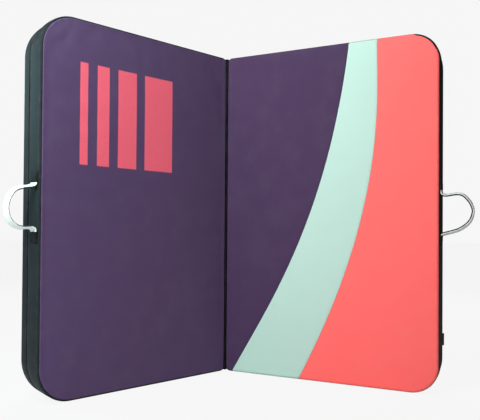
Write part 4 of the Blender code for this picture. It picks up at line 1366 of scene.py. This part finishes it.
shoulder = {
    "spacing": 0.2, "top": 0.8, "low": 0.28, "arch": 0.075, "topOut": 0.020, "lowOut": 0.014,
    "padShare": 0.60, "padWidth": 0.065, "padThickness": 0.012, "endWidth": 0.7, "endThickness": 0.6,
    "padRows": 72, "padAround": 32,
    "bindingInset": 0.0022, "bindingWidth": 0.0066, "bindingThickness": 0.0034,
    "tail": 0.045, "tailThickness": 0.004, "webWidth": 0.025, "webThickness": 0.002,
    "barRun": 0.022, "clearance": 0.0003,
}
level, down = Vector((1, 0, 0)), Vector((0, 0, -1))


def archAt(share):
    out = shoulder["topOut"] + share * (shoulder["lowOut"] - shoulder["topOut"])
    out += shoulder["arch"] * sin(pi * share)
    return Vector((0, padThick + out, shoulder["top"] + share * (shoulder["low"] - shoulder["top"])))


def archHeading(share):
    rise = shoulder["lowOut"] - shoulder["topOut"] + shoulder["arch"] * pi * cos(pi * share)
    return Vector((0, rise, shoulder["low"] - shoulder["top"])).normalized()


def hermite(start, startWay, end, endWay, steps):
    reach = (end - start).length
    return [start * (2 * t ** 3 - 3 * t * t + 1) + startWay.normalized() * reach * (t ** 3 - 2 * t * t + t)
            + end * (3 * t * t - 2 * t ** 3) + endWay.normalized() * reach * (t ** 3 - t * t)
            for t in (i / steps for i in range(steps + 1))]


def padSize(share):
    # the cushion's width and thickness, which shrink towards its ends
    full = max(0.0, sin(pi * clamp(share))) ** 0.5
    return [shoulder[whole] * (shoulder[end] + (1 - shoulder[end]) * full)
            for whole, end in (("padWidth", "endWidth"), ("padThickness", "endThickness"))]


cushion = {
    # powers of the rounded section, stitched channel, pinched ends, unevenness, and the form's
    # width and thickness as shares of the pad's
    "powers": (0.55, 0.80), "channelAt": 0.30, "channelWidth": 0.035, "channelDepth": 0.22,
    "channelRun": (0.06, 0.94), "pinch": 0.35, "pinchRun": 0.03, "soft": 0.06, "fit": (0.985, 0.97),
}


def addShoulderPad(name, middleS):
    # closed padded form: top mesh, sides pinched in to the binding
    def rounded(value, power):
        return 0.5 * (abs(value) ** power) * (1 if value > 0 else -1)

    rows, count = shoulder["padRows"], shoulder["padAround"]
    (widePower, liftPower), (fitWidth, fitThick) = cushion["powers"], cushion["fit"]
    first, last = cushion["channelRun"]
    around = [(rounded(cos(2 * pi * k / count), widePower), rounded(sin(2 * pi * k / count), liftPower))
              for k in range(count + 1)]
    points = [archAt(shoulder["padShare"] * i / rows) + level * middleS for i in range(rows + 1)]
    lengths = lengthsAlong(points)

    def place(i, j):
        share, (wide, lift) = i / rows, around[j]
        width, thick = padSize(share)
        channel = max(0, 1 - abs(abs(wide) - cushion["channelAt"]) / cushion["channelWidth"])
        lift *= 1 - cushion["channelDepth"] * channel * (first < share < last)
        squeeze = 1 - cushion["pinch"] * max(0, 1 - min(share, 1 - share) / cushion["pinchRun"])
        off = archHeading(shoulder["padShare"] * share).cross(level).normalized()
        soft = 1 + cushion["soft"] * noise.noise(Vector((share * 14, wide * 3, middleS * 9)))
        point = points[i] + level * wide * width * fitWidth + off * lift * thick * squeeze * soft * fitThick
        return point, (wide * width, lengths[i]), 0.3

    addPiece(name + "_cushion", closeUp(gridSheet(rows, count, place)), "strapMesh", "right", "padded_mesh",
             name + "_pad", body=name, fill=0.8)
    for side, label in ((-1, "_inner"), (1, "_outer")):
        edge = [point + level * side * (padSize(i / rows)[0] / 2 - shoulder["bindingInset"])
                for i, point in enumerate(points)]
        section = flatSection(shoulder["bindingWidth"], shoulder["bindingThickness"], side=3)
        bm = sweepStrap(edge, level, section)
        addPiece(name + label + "_binding", bm, "bindingWeb", "right", "black_webbing", body=name)


def addShoulderStrap(name, middleS):
    addShoulderPad(name, middleS)
    clear, heading = shoulder["clearance"], archHeading(shoulder["padShare"])
    start = archAt(shoulder["padShare"]) + heading * (2 * clear + shoulder["barRun"])

    def anchorAt(z, thickness):
        return Vector((0, padThick + clear + thickness / 2, z))

    def addRun(label, line, width, thickness, slot, node, body):
        bm = sweepStrap([point + level * middleS for point in line], level, flatSection(width, thickness))
        addPiece(name + label, bm, "blackWeb", "right", slot, name + node, body=body)

    webWidth, webThick, tailThick = shoulder["webWidth"], shoulder["webThickness"], shoulder["tailThickness"]
    addRun("_lower_webbing", hermite(start, heading, archAt(1), archHeading(1), 40), webWidth, webThick,
           "black_webbing", "_web", name)
    top = hermite(anchorAt(shoulder["top"] + shoulder["tail"], tailThick), down,
                  archAt(0) - archHeading(0) * clear, archHeading(0), 30)
    addRun("_top_anchor", top, shoulder["padWidth"] * shoulder["endWidth"], tailThick, "padded_mesh",
           "_top_bend", "right_half")
    low = hermite(archAt(1) + archHeading(1) * clear, archHeading(1),
                  anchorAt(shoulder["low"] - shoulder["tail"], webThick), down, 26)
    addRun("_low_anchor", low, webWidth, webThick, "black_webbing", "_low_bend", "right_half")


for name, side in (("inner", -1), ("outer", 1)):
    addShoulderStrap(name + "_shoulder_strap", padWidth / 2 + side * shoulder["spacing"] / 2)
print("straps sewn on")


# Stitches: one small thread shape, repeated along each sewn line

stitches = {"length": 0.0034, "radius": 0.00038, "pitch": 0.0046, "landingInset": 0.0125, "seamOff": 0.0044,
            "wallShare": 0.90, "boxInset": 0.004, "patchOff": 0.0001, "strapOff": 0.0002,
            "strapBox": (0.003, 0.024), "strapShare": 0.55}


def stitchUnit():
    bm = bmesh.new()
    bmesh.ops.create_icosphere(bm, subdivisions=1, radius=1)
    bmesh.ops.scale(bm, vec=(stitches["length"] / 2, stitches["radius"], stitches["radius"]), verts=bm.verts)
    return toMesh(bm, "stitch")


oneStitch = stitchUnit()


def alongSurface(line):
    # line holds (point, way out of the cloth); gives each stitch's matrix, at an even pitch
    made, ahead = [], stitches["pitch"] / 2
    for (a, out), (b, _) in zip(line, line[1:]):
        length, heading = (b - a).length, (b - a).normalized()
        across = out.cross(heading).normalized()
        while ahead < length:
            made.append(axesMatrix(heading, across, heading.cross(across), a.lerp(b, ahead / length)))
            ahead += stitches["pitch"]
        ahead -= length
    return made


def addStitches(name, half, matrices, thread, slot, body=None):
    addPiece(name + "_stitches", scatter(oneStitch, matrices), thread, half, slot, body=body, sharp=80)


def between(start, end, step):
    count = max(1, ceil((Vector(end) - Vector(start)).length / step))
    return [Vector(start).lerp(Vector(end), i / count) for i in range(count + 1)]


def boxLine(lowX, highX, lowY, highY, step):
    corners = [(lowX, lowY), (highX, lowY), (highX, highY), (lowX, highY), (lowX, lowY)]
    runs = [between(a, b, step)[:-1] for a, b in zip(corners, corners[1:])]
    return sum(runs, []) + [Vector(corners[0])]


def landingStitch(half, s, z, extra=0.0):
    return landingSpot(half, s, z, extra)[0], Vector((0, -1, 0))


def panelAt(s, z):
    inner, outer = (seamAt(name, z)[0] for name in seamTables)
    if min(abs(s - inner), abs(s - outer)) < 0.003:
        return None
    return "plum" if s < inner else "mint" if s < outer else "coral"


def addLandingStitches():
    inset = stitches["landingInset"]
    top = padHeight - inset
    rim = boxLine(gap + inset, padWidth - inset, inset, top, 0.004)
    addStitches("left_landing", "left", alongSurface([landingStitch("left", s, z) for s, z in rim]),
                "plumThread", "plum_fabric")
    rows = {name: [] for name in panels}
    run, panel = [], None
    for s, z in rim:
        here = panelAt(s, z)
        if here != panel:
            if panel:
                rows[panel] += alongSurface(run)
            run, panel = [], here
        run.append(landingStitch("right", s, z))
    rows[panel] += alongSurface(run)
    off = stitches["seamOff"]
    for name, near, far in (("inner", "plum", "mint"), ("outer", "mint", "coral")):
        for panel, side in ((near, -1), (far, 1)):
            line = []
            for z in (inset + (top - inset) * i / 240 for i in range(241)):
                at, stretch = seamAt(name, z)
                line.append(landingStitch("right", at + side * off * stretch, z, grooveFall(off)))
            rows[panel] += alongSurface(line)
    for panel, matrices in rows.items():
        addStitches("right_" + panel, "right", matrices, panel + "Thread", panel + "_fabric")


def addWallStitches(half):
    # one row beside the zip on each band
    matrices, line, share = [], stations[half], stitches["wallShare"]
    for i in range(int(line[-1][4] / stitches["pitch"])):
        station = alongOutline(line, (i + 0.5) * stitches["pitch"])
        for first, last, part, bulge, seed in (
                (landingSeam(station), pad["zipDepth"] - zipHalf, share, "frontBulge", "frontSeed"),
                (pad["zipDepth"] + zipHalf, groundSeam(station), 1.2 * (1 - share), "backBulge", "backSeed")):
            matrices.append(frameAt(station, bandSwell(station, part, walls[bulge], walls[seed]),
                                    first + (last - first) * part))
    addStitches(half + "_wall", half, matrices, "blackThread", "wall_fabric")


def boxAndCross(low, high, wide, place):
    # a sewn box with a cross in it; place turns (along, across) into a stitch's point and way out
    step, matrices = 0.002, []
    for line in (boxLine(low, high, -wide, wide, step), between((low, -wide), (high, wide), step),
                 between((low, wide), (high, -wide), step)):
        matrices += alongSurface([place(*spot) for spot in line])
    return matrices


def addPatchStitches(half):
    inset, matrices = stitches["boxInset"], []
    for up in (1, -1):
        def onPatch(along, across):
            out = patchSurface(across, along)[0] + stitches["patchOff"]
            return handlePoint(out, up * along, across), level

        matrices += boxAndCross(patch["near"] + inset, patch["near"] + patch["length"] - inset,
                                patch["width"] / 2 - inset, onPatch)
    addStitches(half + "_patch", half, matrices, "blackThread", "black_webbing")


def addStrapStitches(name, half, root, toward, height, length, width, thickness, buckle):
    out = pad["groundLevel"] + thickness + stitches["strapOff"]
    low, high = stitches["strapBox"]
    matrices = boxAndCross(
        low, min(high, length * stitches["strapShare"]), width / 2 - stitches["boxInset"],
        lambda along, across: (Vector((root + toward * along, out, height + across)), Vector((0, 1, 0))))
    addStitches(name, half, matrices, "paleThread", "black_webbing", name)


addLandingStitches()
for half in sides:
    addWallStitches(half)
    addPatchStitches(half)
for name, spec in flatStraps.items():
    addStrapStitches(name, *spec)
print("seams stitched")


# Buckles and zip pulls: merged, rounded copies that stand for the CAD nodes

# merge distance, widths of the rounding, and angles in degrees
rounding = {"merge": 0.00002, "flat": 2, "sharp": 35, "shade": 40, "buckle": 0.0007, "adjuster": 0.0006,
            "zip": 0.0003}


def roundedCopy(node, name, look, slot, body, width):
    bm = bmesh.new()
    bm.from_mesh(frame["nodes"][node].data)
    bmesh.ops.remove_doubles(bm, verts=bm.verts, dist=rounding["merge"])
    bmesh.ops.dissolve_limit(bm, angle_limit=radians(rounding["flat"]), verts=bm.verts, edges=bm.edges)
    bmesh.ops.recalc_face_normals(bm, faces=bm.faces)
    sharp = [edge for edge in bm.edges
             if len(edge.link_faces) == 2 and edge.calc_face_angle(0) > radians(rounding["sharp"])]
    bmesh.ops.bevel(bm, geom=sharp, offset=width, segments=2, profile=0.5, material=-1, affect="EDGES",
                    clamp_overlap=True)
    piece = dress(bm, name, look, rounding["shade"])
    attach(piece, body)
    standFor(piece, slot, node)


for name, spec in flatStraps.items():
    roundedCopy(name + "_" + spec[7], name + "_buckle", "buckle", "buckle", name, rounding["buckle"])
for name in ("inner_shoulder_strap", "outer_shoulder_strap"):
    roundedCopy(name + "_adjuster", name + "_slide_adjuster", "buckle", "buckle", name, rounding["adjuster"])
for half in sides:
    for part, label in (("slider", "body"), ("puller", "plate")):
        roundedCopy(half + "_zip_" + part, half + "_" + part + "_" + label, "metal", "zip_metal",
                    half + "_" + part, rounding["zip"])
print("buckles and zip pulls placed")
